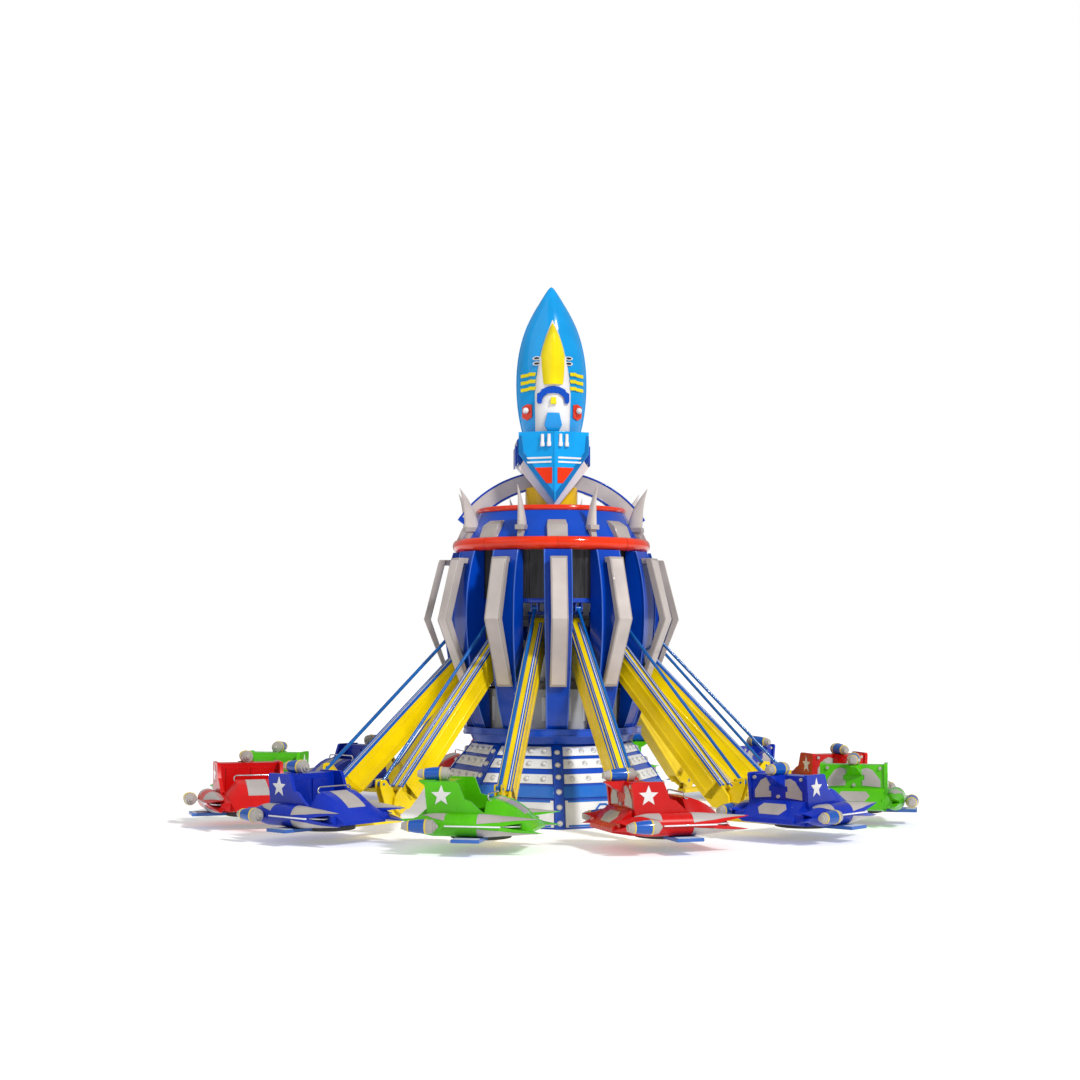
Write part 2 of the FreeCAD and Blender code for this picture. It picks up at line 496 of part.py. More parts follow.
def plane():
    """One two-seat plane with its levelling fork, drawn with its nose towards +Y."""
    r = PLANE_R
    solids = [Part.makeCylinder(DISC_R, DISC_T, V(r, 0, DISC_Z))]
    foot_x0, foot_x1 = KNUCKLE_R - TONGUE_R - 5, r - DISC_R - 1
    solids.append(box(foot_x0, foot_x1, -FOOT_W / 2, FOOT_W / 2, FLOOR_Z - FOOT_T, FLOOR_Z))
    cheek_line = [(foot_x0, FLOOR_Z), (KNUCKLE_R + 170, FLOOR_Z),
                  (rod_foot[0] + 70, rod_foot[1] - 50), (rod_foot[0] + 70, rod_foot[1] + 65),
                  (rod_foot[0] - 65, rod_foot[1] + 65), (foot_x0, KNUCKLE_Z + 75)]
    for side in (-1, 1):
        cheek = prism(cheek_line, CHEEK_T / 2, side * (CHEEK_IN + CHEEK_T / 2))
        cheek = cheek.cut(pin_y(KNUCKLE_R, KNUCKLE_Z, KNUCKLE_PIN_R + RUNNING, 300))
        solids.append(cheek.cut(pin_y(rod_foot[0], rod_foot[1], ROD_PIN_R + OPEN_PIVOT, 300)))
    inside = FLOAT_V - FLOAT_R - BODY_GAP
    solids.append(box(r - inside, r + inside, -TAIL_END, HOOD_NOSE - 60, FLOOR_Z, FLOOR_TOP))
    solids += [float_body(r - FLOAT_V), float_body(r + FLOAT_V)]
    hood = [(HOOD_BACK, FLOOR_TOP), (HOOD_NOSE, FLOOR_TOP), (HOOD_NOSE - 20, FLOOR_TOP + 45),
            (420, HOOD_TOP - 20), (HOOD_BACK, HOOD_TOP)]
    solids.append(prism_y(hood, r - HOOD_HALF, r + HOOD_HALF))
    back_y0 = -SEAT_BACK - BACK_T
    solids.append(box(r - HOOD_HALF + WALL_T, r + HOOD_HALF - WALL_T, -SEAT_BACK, 60,
                      FLOOR_TOP, FLOOR_TOP + SEAT_H))
    for side in (-1, 1):
        x0, x1 = sorted((r + side * HOOD_HALF, r + side * (HOOD_HALF - WALL_T)))
        solids.append(box(x0, x1, -SEAT_BACK, HOOD_BACK, FLOOR_TOP, WALL_TOP))
        x0, x1 = sorted((r + side * BACK_HALF, r + side * (BACK_HALF + WING_T)))
        solids.append(prism_y([(-WING_TAIL, WING_LOW + 10), (-WING_FRONT, WING_LOW + 10),
                               (-WING_FRONT, BACK_TOP - 230), (-SEAT_BACK, BACK_TOP - 40),
                               (-WING_TAIL, BACK_TOP - 40)], x0, x1))
    solids.append(box(r - BACK_HALF, r + BACK_HALF, back_y0, -SEAT_BACK, FLOOR_TOP + 290, BACK_TOP))
    solids.append(box(r - inside, r + inside, back_y0, -SEAT_BACK, FLOOR_TOP, FLOOR_TOP + 290))
    solids.append(box(r - TAIL_HALF, r + TAIL_HALF, -TAIL_END, back_y0, FLOOR_TOP, WALL_TOP))
    post_top = TOP_POD_Z - TOP_POD_R
    solids.append(box(r - 45, r + 45, -700, -600, WALL_TOP, post_top))
    solids.append(pod(r, TOP_POD_Z, TOP_POD_R, -POD_TAIL, back_y0 - BODY_GAP))
    for side in (-1, 1):
        pod_x = r + side * (FLOAT_V + FLOAT_R + SIDE_POD_R + BODY_GAP)
        solids.append(pod(pod_x, FLOAT_Z, SIDE_POD_R, -POD_TAIL + 20, -POD_TAIL + 20 + SIDE_POD_LONG))
    rail_y = HOOD_BACK + 60
    rail_foot = HOOD_TOP - 15
    rail = box(r - RAIL_HALF, r + RAIL_HALF, rail_y - RAIL_R, rail_y + RAIL_R,
               RAIL_TOP - 2 * RAIL_R, RAIL_TOP)
    legs = [box(r + s * RAIL_HALF - RAIL_R, r + s * RAIL_HALF + RAIL_R, rail_y - RAIL_R,
                rail_y + RAIL_R, rail_foot, RAIL_TOP) for s in (-1, 1)]
    solids.append(rail.fuse(legs[0]).fuse(legs[1]).cut(prism_y(hood, r - HOOD_HALF, r + HOOD_HALF)))
    solids.append(box(r + DISC_R + 10, r + STEP_END, -STEP_HALF, STEP_HALF, STEP_Z, STEP_Z + STEP_T))
    return solids


plane_solids = plane()
for k in range(ARMS):
    azimuth = ARM_PHASE + ARM_STEP * k
    save("arm_%02d" % (k + 1), [turned(arm, azimuth)])
    save("level_rod_%02d" % (k + 1), [turned(rod, azimuth)])
    save("gondola_%02d" % (k + 1), [turned(s, azimuth) for s in plane_solids])
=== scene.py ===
"""Looks of the spinning plane ride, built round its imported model. Metres, +Z up, front towards -Y."""
import math

import bmesh
import bpy
import numpy as np
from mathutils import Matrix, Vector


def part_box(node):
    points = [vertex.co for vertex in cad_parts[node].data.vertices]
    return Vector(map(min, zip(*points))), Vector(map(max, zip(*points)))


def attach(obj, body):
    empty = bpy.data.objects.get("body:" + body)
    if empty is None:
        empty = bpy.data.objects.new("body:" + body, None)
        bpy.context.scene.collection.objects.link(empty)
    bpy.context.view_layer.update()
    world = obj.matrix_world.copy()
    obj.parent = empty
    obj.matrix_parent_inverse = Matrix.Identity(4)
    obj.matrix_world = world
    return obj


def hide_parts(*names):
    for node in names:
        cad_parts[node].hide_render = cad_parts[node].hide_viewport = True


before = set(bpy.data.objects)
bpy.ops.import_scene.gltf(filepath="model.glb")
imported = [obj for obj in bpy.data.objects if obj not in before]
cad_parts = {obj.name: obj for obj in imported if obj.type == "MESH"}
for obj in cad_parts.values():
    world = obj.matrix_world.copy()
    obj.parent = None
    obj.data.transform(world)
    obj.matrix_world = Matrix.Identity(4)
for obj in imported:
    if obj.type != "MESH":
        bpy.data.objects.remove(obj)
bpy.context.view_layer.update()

# ---------------------------------------------------------------------------------------------
# Camera: stands a little left of the front, at head height of someone on a low platform,
# far enough back to take in the whole ride.
camera_back, camera_side_deg, camera_height = 31.47, 3.6, 3.03
side = math.radians(camera_side_deg)
camera_data = bpy.data.cameras.new("camera")
camera_data.lens = 62.6
camera = bpy.data.objects.new("camera", camera_data)
bpy.context.collection.objects.link(camera)
camera.location = (-camera_back * math.sin(side), -camera_back * math.cos(side), camera_height)
camera.rotation_euler = (math.radians(92.88), 0, math.radians(-3.25))
bpy.context.scene.camera = camera
bpy.context.scene.view_settings.view_transform = "Standard"

# ---------------------------------------------------------------------------------------------
# Studio: a pale floor and a white surround, one broad soft key from the right and above, and a
# weak fill from the left.
world = bpy.data.worlds.new("studio")
bpy.context.scene.world = world
world.use_nodes = True
surround = world.node_tree.nodes["Background"]
surround.inputs["Color"].default_value = (1, 1, 1, 1)
surround.inputs["Strength"].default_value = 0.40
backdrop = world.node_tree.nodes.new("ShaderNodeBackground")
backdrop.inputs["Color"].default_value = (1, 1, 1, 1)
backdrop.inputs["Strength"].default_value = 1.0
seen_or_lit = world.node_tree.nodes.new("ShaderNodeMixShader")
for source, target in ((world.node_tree.nodes.new("ShaderNodeLightPath").outputs["Is Camera Ray"], 0),
                       (surround.outputs[0], 1), (backdrop.outputs[0], 2)):
    world.node_tree.links.new(source, seen_or_lit.inputs[target])
world.node_tree.links.new(seen_or_lit.outputs[0], world.node_tree.nodes["World Output"].inputs["Surface"])
for lamp_name, strength, spread, tilt in (("key", 2.5, 8, (50, 0, 36)), ("fill", 0.35, 50, (60, 0, -60))):
    sun = bpy.data.lights.new(lamp_name, "SUN")
    sun.energy = strength
    sun.angle = math.radians(spread)
    holder = bpy.data.objects.new(lamp_name, sun)
    bpy.context.collection.objects.link(holder)
    holder.rotation_euler = [math.radians(a) for a in tilt]


class Sock:
    """A shader socket that does arithmetic: an expression on it adds the Math nodes it needs."""

    def __init__(self, tree, link):
        self.tree, self.link = tree, link

    def node(self, kind, settings=None, out=0, **values):
        """Adds a node; settings are its own properties, values its sockets by name or index."""
        made = self.tree.nodes.new("ShaderNode" + kind)
        for key, value in (settings or {}).items():
            if key == "stops":
                ramp = made.color_ramp.elements
                while len(ramp) < len(value):
                    ramp.new(0.5)
                for element, (place, colour) in zip(ramp, value):
                    element.position = place
                    element.color = colour
            else:
                setattr(made, key, value)
        for key, value in values.items():
            index = int(key[1:]) if key[0] == "i" and key[1:].isdigit() else key.replace("_", " ")
            if isinstance(value, Sock):
                self.tree.links.new(value.link, made.inputs[index])
            else:
                made.inputs[index].default_value = value
        return Sock(self.tree, made.outputs[out])

    def math(self, operation, *others):
        values = {"i%d" % i: v for i, v in enumerate((self,) + others)}
        return self.node("Math", {"operation": operation}, **values)

    def __add__(self, other):
        return self.math("ADD", other)

    def __mul__(self, other):
        return self.math("MULTIPLY", other)

    def __sub__(self, other):
        return self.math("SUBTRACT", other)

    def __rsub__(self, other):
        return (self * -1.0) + other

    __radd__, __rmul__ = __add__, __mul__

    def above(self, level, soft):
        """0 below level, 1 above it, with an edge as wide as soft."""
        return self.node("MapRange", {"interpolation_type": "SMOOTHSTEP"}, Value=self,
                         From_Min=level - soft, From_Max=level + soft)

    def mix(self, first, second):
        """Colour mix, this socket being the factor."""
        made = self.tree.nodes.new("ShaderNodeMix")
        made.data_type = "RGBA"
        self.tree.links.new(self.link, made.inputs["Factor"])
        for index, value in ((6, first), (7, second)):
            if isinstance(value, Sock):
                self.tree.links.new(value.link, made.inputs[index])
            else:
                made.inputs[index].default_value = (*value, 1.0)
        return Sock(self.tree, made.outputs[2])


def new_finish(name, metallic=0.0, coat=0.0):
    """A Principled material; returns it with its shader node and its Object coordinates."""
    finish = bpy.data.materials.new(name)
    finish.use_nodes = True
    tree = finish.node_tree
    shader = tree.nodes["Principled BSDF"]
    shader.inputs["Metallic"].default_value = metallic
    shader.inputs["Coat Weight"].default_value = coat
    shader.inputs["Coat Roughness"].default_value = 0.06
    shader.inputs["Specular IOR Level"].default_value = 0.5 if metallic > 0.5 else 0.22
    place = Sock(tree, tree.nodes.new("ShaderNodeTexCoord").outputs["Object"])
    return finish, shader, place


def feed(place, shader, socket, value):
    """Links a worked-out value into one of the shader's sockets."""
    place.tree.links.new(value.link, shader.inputs[socket])


def noise(place, scale, detail=3.0, rough=0.55):
    """Cloudy noise from 0 to 1."""
    return place.node("TexNoise", Vector=place, Scale=scale, Detail=detail, Roughness=rough)


def sprayed(name, colour, rough=0.22, dirt=0.25, peel=0.02, coat=0.25, metallic=0.0):
    """Gloss coat on steel or glass fibre: orange peel, uneven fading, dust low down, fine scuffs."""
    finish, shader, place = new_finish(name, metallic, coat)
    cloud = noise(place, 0.9, 4.0)
    blotch = noise(place, 6.0, 5.0)
    scuff = noise(place, 38.0, 6.0, 0.7).above(0.66, 0.05)
    height = place.node("SeparateXYZ", out=2, Vector=place)
    dust = (1.0 - height.above(0.35, 0.9)) * blotch * dirt
    deep = tuple(c * 0.78 for c in colour)
    light = tuple(min(1.0, c * 1.10 + 0.002) for c in colour)
    tone = cloud.above(0.5, 0.22).mix(deep, light)
    tone = (scuff * 0.10 * blotch).mix(tone, tuple(0.7 * c + 0.12 for c in colour))
    tone = dust.mix(tone, (0.30, 0.28, 0.25))
    feed(place, shader, "Base Color", tone)
    feed(place, shader, "Roughness", blotch * 0.14 + scuff * 0.16 + dust * 0.4 + (rough - 0.07))
    skin = noise(place, 160.0, 2.0)
    wave = noise(place, 2.2, 2.0)
    bump = place.node("Bump", Strength=0.18, Distance=peel, Height=skin * 0.05 + wave * 0.5)
    feed(place, shader, "Normal", bump)
    return finish


# ---------------------------------------------------------------------------------------------
# Floor: smooth pale studio board, very faintly mottled.
floor_finish, floor_shader, floor_place = new_finish("studio_floor")
feed(floor_place, floor_shader, "Base Color",
     noise(floor_place, 0.4).mix((0.86, 0.865, 0.87), (0.90, 0.90, 0.90)))
floor_shader.inputs["Roughness"].default_value = 0.8
floor_shader.inputs["Emission Color"].default_value = (1, 1, 1, 1)
floor_shader.inputs["Emission Strength"].default_value = 0.30
floor_half = 160.0
floor_mesh = bpy.data.meshes.new("floor")
floor_mesh.from_pydata([(-floor_half, -floor_half, -0.002), (floor_half, -floor_half, -0.002),
                        (floor_half, floor_half, -0.002), (-floor_half, floor_half, -0.002)],
                       [], [(0, 1, 2, 3)])
floor_mesh.materials.append(floor_finish)
floor = bpy.data.objects.new("floor", floor_mesh)
bpy.context.collection.objects.link(floor)

# ---------------------------------------------------------------------------------------------
# Skirt: an eight-sided dome of folded blue steel plate that stands on the ground and hides the
# pedestal. Each corner carries a rolled rib; the faces lean in more the higher they go.
ARMS, SKIRT_SIDES = 12, 8


def turned(points, azimuth):
    """Points drawn with X outwards, Y along the flight and Z up, set at an azimuth in degrees
    from the front: a rotation about Z by azimuth - 90."""
    a = math.radians(azimuth - 90.0)
    p = np.asarray(points, float)
    x = p[..., 0] * math.cos(a) - p[..., 1] * math.sin(a)
    y = p[..., 0] * math.sin(a) + p[..., 1] * math.cos(a)
    return np.stack([x, y, p[..., 2]], axis=-1)


def loft(rings):
    """Closed skin through k rings of n points (k, n, 3): quads between rings, flat end caps."""
    rings = np.asarray(rings, float)
    k, n = rings.shape[:2]
    i, j = np.meshgrid(np.arange(k - 1), np.arange(n), indexing="ij")
    j2 = (j + 1) % n
    quads = np.stack([i * n + j, i * n + j2, (i + 1) * n + j2, (i + 1) * n + j], -1).reshape(-1, 4)
    ends = [list(range(n))[::-1], list(range((k - 1) * n, k * n))]
    return rings.reshape(-1, 3), quads.tolist() + ends


def hoop(profile, count=96, azimuth0=0.0):
    """Ring: a closed profile of (radius, z) turned round Z in count steps, joined to itself."""
    profile = np.asarray(profile, float)
    a = np.radians(azimuth0) + np.linspace(0, 2 * np.pi, count, endpoint=False)[:, None]
    grid = np.stack([profile[:, 0] * np.sin(a), -profile[:, 0] * np.cos(a),
                     np.broadcast_to(profile[:, 1], (count, len(profile)))], -1)
    k, n = grid.shape[:2]
    i, j = np.meshgrid(np.arange(k), np.arange(n), indexing="ij")
    i2, j2 = (i + 1) % k, (j + 1) % n
    quads = np.stack([i * n + j, i2 * n + j, i2 * n + j2, i * n + j2], -1).reshape(-1, 4)
    return grid.reshape(-1, 3), quads.tolist()


def column_of(profile, count=64, centre=(0.0, 0.0)):
    """Solid of turning: (radius, z) from bottom to top as stacked circles, capped flat."""
    a = np.linspace(0, 2 * np.pi, count, endpoint=False)
    return loft([np.stack([centre[0] + r * np.cos(a), centre[1] + r * np.sin(a), 0 * a + z], -1)
                 for r, z in profile])


def stations(rows):
    """Upright bar whose depth and width change with height: rows of (z, inner, outer, half)."""
    return loft([[(a, -w, z), (b, -w, z), (b, w, z), (a, w, z)] for z, a, b, w in rows])


def block(x0, x1, y0, y1, z0, z1):
    """Box between two corners, for a bevel to finish."""
    return stations([(z0, x0, x1, 0), (z1, x0, x1, 0)]) if y0 == y1 else loft(
        [[(x0, y0, z), (x1, y0, z), (x1, y1, z), (x0, y1, z)] for z in (z0, z1)])


def plate_x(outline, x0, x1):
    """Plate with its outline in the Y-Z plane, from x0 to x1."""
    return loft([[(x, y, z) for y, z in outline] for x in (x0, x1)])


def plate_y(outline, y0, y1):
    """Plate with its outline in the X-Z plane, from y0 to y1."""
    return loft([[(x, y, z) for x, z in outline] for y in (y0, y1)])


def pipe(path, radius, sides=12):
    """Round tube: circles of the radius set square to a path of points, capped at both ends."""
    path = np.asarray(path, float)
    along = np.gradient(path, axis=0)
    along /= np.linalg.norm(along, axis=1, keepdims=True)
    helper = np.array([0.0, 0.0, 1.0]) if abs(along[0, 2]) < 0.9 else np.array([1.0, 0.0, 0.0])
    first = np.cross(along, helper)
    first /= np.linalg.norm(first, axis=1, keepdims=True)
    second = np.cross(along, first)
    a = np.linspace(0, 2 * np.pi, sides, endpoint=False)
    r = np.broadcast_to(np.asarray(radius, float), (len(path),))[:, None, None]
    ring = first[:, None] * np.cos(a)[:, None] + second[:, None] * np.sin(a)[:, None]
    return loft(path[:, None] + r * ring)


def spun(skins, azimuths):
    """The same skins at several azimuths."""
    return [(turned(v, a), f) for a in azimuths for v, f in skins]


def piece(name, skins, finish, body, bevel=0.0, replaces=(), smooth=35.0, segments=2):
    """Joins skins into one named mesh with one finish, rides it on its body, bevels its edges."""
    verts, faces, base = [], [], 0
    for v, f in skins:
        verts.append(np.asarray(v, float).reshape(-1, 3))
        faces += [[base + i for i in face] for face in f]
        base += len(verts[-1])
    mesh = bpy.data.meshes.new(name)
    mesh.from_pydata(np.concatenate(verts).tolist(), [], faces)
    work = bmesh.new()
    work.from_mesh(mesh)
    bmesh.ops.recalc_face_normals(work, faces=work.faces)
    work.to_mesh(mesh)
    work.free()
    mesh.shade_smooth()
    mesh.set_sharp_from_angle(angle=math.radians(smooth))
    mesh.materials.append(finish)
    made = bpy.data.objects.new(name, mesh)
    bpy.context.collection.objects.link(made)
    if bevel:
        rounded = made.modifiers.new("edges", "BEVEL")
        rounded.width = bevel
        rounded.segments = segments
        rounded.limit_method = "ANGLE"
        rounded.angle_limit = math.radians(30)
    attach(made, body)
    if replaces:
        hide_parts(*replaces)
    return made


def on_line(line, z):
    """Straight-line value at a height from (z, value) pairs."""
    heights, values = zip(*line)
    return float(np.interp(z, heights, values))


skirt_foot_r = 2.13
skirt_line = [(0.0, skirt_foot_r), (0.25, 2.01), (0.65, 1.81), (0.89, 1.63), (1.27, 1.31)]
facet_turn = 180.0 / SKIRT_SIDES
flat_share = math.cos(math.radians(facet_turn))
facet_slope = math.tan(math.radians(facet_turn))
corner_azimuths = [i * 360.0 / SKIRT_SIDES for i in range(SKIRT_SIDES)]
facet_azimuths = [a + facet_turn for a in corner_azimuths]


def facet_at(z):
    """How far out a skirt face stands at a height."""
    return on_line(skirt_line, z) * flat_share


tower_blue = sprayed("tower_blue_gloss", (0.0, 0.062, 0.50), rough=0.18, coat=0.34)
sky_blue_band = sprayed("skirt_band_blue", (0.0, 0.13, 0.56), rough=0.14, coat=0.38)
skirt_wall = 0.03
outer_line = [(on_line(skirt_line, z), z) for z, r in skirt_line]
inner_line = [(r - skirt_wall, z) for r, z in reversed(outer_line)]
piece("skirt_shell", [hoop(outer_line + inner_line, SKIRT_SIDES)], tower_blue, "base",
      bevel=0.008, replaces=["skirt_frame"])
corner_ribs = [stations([(z, r - 0.05, r + 0.004, 0.075) for z, r in skirt_line])]
piece("skirt_corner_ribs", spun(corner_ribs, corner_azimuths), tower_blue, "base",
      bevel=0.012)
band_edge = 0.075
band = [stations([(z, facet_at(z) - 0.01, facet_at(z) + 0.022,
                   facet_at(z) * facet_slope - band_edge) for z in (0.465, 0.645)])]
piece("skirt_bands", spun(band, facet_azimuths), sky_blue_band, "base", bevel=0.010)

# Skirt panels: pressed white glass-fibre panels screwed to the blue plate, three lamp rows and
# one deep panel at the foot of each face.
white_panel = sprayed("panel_white", (0.80, 0.81, 0.83), rough=0.25, dirt=0.55)
panel_edge = 0.095
lamp_rows = ((0.68, 0.82), (0.905, 1.045), (1.095, 1.235))


def facet_panel(z0, z1, out, edge):
    """Plate lying on a leaning skirt face, its sides running with the face's edges."""
    heights = [z0] + [z for z, r in skirt_line if z0 < z < z1] + [z1]
    return stations([(z, facet_at(z) - 0.006, facet_at(z) + out, facet_at(z) * facet_slope - edge)
                     for z in heights])


panels = [facet_panel(z0, z1, 0.022, panel_edge) for z0, z1 in lamp_rows]
panels.append(facet_panel(0.03, 0.43, 0.024, panel_edge))
piece("skirt_panels_white", spun(panels, facet_azimuths), white_panel, "base",
      bevel=0.007, replaces=["skirt_panels"])


def tilted(points, x, z, slope):
    """Points drawn with X along the normal, Y sideways and Z up the face, tipped back by slope
    and moved to (x, z) on a leaning face."""
    p = np.asarray(points, float)
    px = x + p[..., 0] * math.cos(slope) - p[..., 2] * math.sin(slope)
    pz = z + p[..., 0] * math.sin(slope) + p[..., 2] * math.cos(slope)
    return np.stack([px, p[..., 1], pz], axis=-1)


def face_slope(z, share=1.0, step=0.03):
    """Lean of the skirt at a height."""
    return math.atan2((on_line(skirt_line, z - step) - on_line(skirt_line, z + step)) * share,
                      2 * step)


def disc(profile, count=20):
    """Round boss standing along X: (distance out, radius) as stacked circles."""
    a = np.linspace(0, 2 * np.pi, count, endpoint=False)
    return loft([np.stack([0 * a + x, r * np.cos(a), r * np.sin(a)], -1) for x, r in profile])


badge_z, badge_r, badge_bar = 0.235, 0.155, 0.032
octagon = np.radians(np.arange(8) * 45.0 + 22.5)
badge_rings = [np.stack([0 * octagon + x, r * np.cos(octagon), r * np.sin(octagon)], -1)
               for x, r in ((0.0, badge_r), (0.02, badge_r), (0.02, badge_r - badge_bar),
                            (0.0, badge_r - badge_bar))]
grid = np.stack(badge_rings, 1)
badge_index = np.arange(32).reshape(8, 4)
badge_quads = np.stack([badge_index, np.roll(badge_index, -1, 0), np.roll(np.roll(badge_index, -1, 0), -1, 1),
                        np.roll(badge_index, -1, 1)], -1).reshape(-1, 4).tolist()
badge = (tilted(grid.reshape(-1, 3), facet_at(badge_z) + 0.022, badge_z,
                face_slope(badge_z, flat_share)), badge_quads)
stripes = [facet_panel(z, z + 0.03, 0.028, 0.14) for z in (0.035, 0.40)]
piece("skirt_badges", spun([badge] + stripes, facet_azimuths), sky_blue_band, "base",
      bevel=0.004)

# Skirt lamps: round cap lamps with a turned bezel and a domed milky lens, four to a panel and
# six or seven up each corner rib.
bezel_finish = sprayed("lamp_bezel", (0.60, 0.61, 0.63), rough=0.3, metallic=0.3)
lens_finish, lens_shader, lens_place = new_finish("lamp_lens_milky", coat=0.38)
facing = noise(lens_place, 60.0, 2.0)
feed(lens_place, lens_shader, "Base Color", facing.mix((0.58, 0.57, 0.56), (0.74, 0.72, 0.70)))
feed(lens_place, lens_shader, "Roughness", facing * 0.2 + 0.12)
lens_shader.inputs["Emission Strength"].default_value = 0.03
lens_shader.inputs["Emission Color"].default_value = (1.0, 0.98, 0.92, 1.0)
lens_skins, bezel_skins = [], []
lens_line = [(0.006, 0.034), (0.020, 0.032), (0.030, 0.024), (0.035, 0.012), (0.0365, 0.002)]
bezel_line = [(-0.004, 0.046), (0.012, 0.046), (0.016, 0.040), (0.016, 0.034), (0.0, 0.034)]


def cap_lamp(x, y, z, slope):
    """Lens and bezel of one lamp on a leaning face."""
    lens, faces = disc(lens_line, 14)
    rim, rim_faces = disc(bezel_line, 14)
    shift = np.array([0.0, y, 0.0])
    return ((tilted(lens + shift, x, z, slope), faces), (tilted(rim + shift, x, z, slope), rim_faces))


for z0, z1 in lamp_rows:
    z = (z0 + z1) / 2
    half = facet_at(z) * facet_slope - panel_edge
    for i in range(4):
        lamp = cap_lamp(facet_at(z) + 0.022, half * (2 * i - 3) / 4, z, face_slope(z, flat_share))
        lens_skins += spun([lamp[0]], facet_azimuths)
        bezel_skins += spun([lamp[1]], facet_azimuths)
for z in (0.09, 0.33, 0.56, 0.78, 0.96, 1.15):
    lamp = cap_lamp(on_line(skirt_line, z) + 0.006, 0.0, z, face_slope(z))
    lens_skins += spun([lamp[0]], corner_azimuths)
    bezel_skins += spun([lamp[1]], corner_azimuths)
piece("skirt_lamp_lenses", lens_skins, lens_finish, "base", replaces=["skirt_lamps"],
      smooth=60)
piece("skirt_lamp_bezels", bezel_skins, bezel_finish, "base", smooth=40)

# ---------------------------------------------------------------------------------------------
# Turntable deck: a twelve-sided welded steel drum lid in blue, with a rolled lip, bolted to the
# slewing gear; the tower stands on it. Its cap screws are not drawn.
deck_low, deck_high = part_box("rotor_deck")
deck_flat, deck_z0, deck_z1 = deck_high[0], deck_low[2], deck_high[2]
twelfth = 360.0 / ARMS
deck_corner = deck_flat / math.cos(math.radians(twelfth / 2))
deck_bore = 0.38
piece("deck_plate", [hoop([(deck_bore, deck_z0), (deck_corner, deck_z0), (deck_corner, deck_z1),
                           (deck_bore, deck_z1)], ARMS, twelfth / 2)],
      tower_blue, "rotor", bevel=0.018, replaces=["rotor_deck"], segments=3)
lip = [hoop([(deck_corner - 0.03, z), (deck_corner + 0.012, z), (deck_corner + 0.012, z + 0.022),
             (deck_corner - 0.03, z + 0.022)], ARMS, twelfth / 2) for z in (deck_z0, deck_z1 - 0.02)]
piece("deck_lips", lip, tower_blue, "rotor", bevel=0.006)
apron_z0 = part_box("skirt_frame")[1][2] + 0.006
apron = [hoop([(deck_corner - 0.30, apron_z0), (deck_corner - 0.16, apron_z0),
               (deck_corner - 0.10, deck_z0 + 0.002), (deck_corner - 0.24, deck_z0 + 0.002)],
              ARMS, twelfth / 2)]
piece("deck_apron", apron, tower_blue, "rotor", bevel=0.004)

# Lower drum: grey sheet cladding on the tower's foot, in flat folded panels with pale raised strips; its dark
# slots are not drawn.
column_grey = sprayed("column_grey_paint", (0.40, 0.41, 0.43), rough=0.4, coat=0.1, dirt=0.5)
light_grey = sprayed("column_white_paint", (0.66, 0.67, 0.69), rough=0.35, coat=0.15)
slot_dark, slot_shader, slot_place = new_finish("slot_shadow")
feed(slot_place, slot_shader, "Base Color",
     noise(slot_place, 5.0).mix((0.010, 0.010, 0.012), (0.030, 0.030, 0.034)))
feed(slot_place, slot_shader, "Roughness", noise(slot_place, 9.0) * 0.3 + 0.5)
drum_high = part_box("lower_drum")[1]
drum_flat, drum_top_z = drum_high[0], drum_high[2]
drum_corner = drum_flat / math.cos(math.radians(twelfth / 2))
drum_wall = 0.015
piece("lower_drum_skin", [hoop([(drum_corner - drum_wall, deck_z1), (drum_corner, deck_z1),
                                (drum_corner, drum_top_z), (drum_corner - drum_wall, drum_top_z)],
                               ARMS, twelfth / 2)], column_grey, "rotor",
      replaces=["lower_drum"])
louvres = [block(drum_flat - 0.002, drum_flat + 0.010, y - 0.035, y + 0.035, deck_z1 + 0.12,
                 drum_top_z - 0.12) for y in (-0.20, 0.0, 0.20)]
piece("lower_drum_panels", spun(louvres, [i * twelfth for i in range(ARMS)]), light_grey, "rotor",
      bevel=0.006)

# Column: the twelve-sided load-carrying tube in the middle, light grey, with flanged joints; its
# stiffening ribs and the dark gap round it are not modelled.
column_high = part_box("rotor_column")[1]
column_r, column_z1 = column_high[0], column_high[2]
column_line = [(column_r - 0.004, deck_z1), (column_r - 0.004, column_z1)]
piece("column_tube", [hoop([(column_r - 0.03, deck_z1)] + column_line + [(column_r - 0.03, column_z1)],
                           ARMS, 0.0)], light_grey, "rotor",
      replaces=["rotor_column"])
flanges = [hoop([(column_r - 0.01, z - 0.03), (column_r + 0.035, z - 0.03),
                 (column_r + 0.035, z + 0.03), (column_r - 0.01, z + 0.03)], ARMS, 0.0)
           for z in (2.30, 2.78, 3.30)]
piece("column_flanges", flanges, column_grey, "rotor", bevel=0.006)

# Ribs: twelve barrel-curved box ribs of blue glass fibre, each edged with a rolled bead down both
# sides of its face, coloured a lighter blue that is a painted highlight; they stand on the deck and carry the
# red ring.
rib_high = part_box("ribs")[1]
rib_top_z = rib_high[2]
bulge_r, bulge_z = rib_high[0], 3.43
rib_top_curve, rib_foot_curve = 0.163, 0.107
rib_foot_half, rib_top_half = 0.170, 0.220


def rib_face(z):
    """Outer radius of a rib: two parabolas that meet at the bulge."""
    curve = rib_top_curve if z > bulge_z else rib_foot_curve
    return bulge_r - curve * (z - bulge_z) ** 2


def rib_half(z):
    """Half the width of a rib's face, growing from the foot to the bulge."""
    return rib_foot_half + (rib_top_half - rib_foot_half) * min(1.0, (z - deck_z1) / (bulge_z - deck_z1))


def rib_back(z):
    """Inner radius of a rib, leaning out from the foot to the drum."""
    return on_line([(deck_z1, 1.285), (bulge_z, 1.445), (rib_top_z, 1.445)], z)


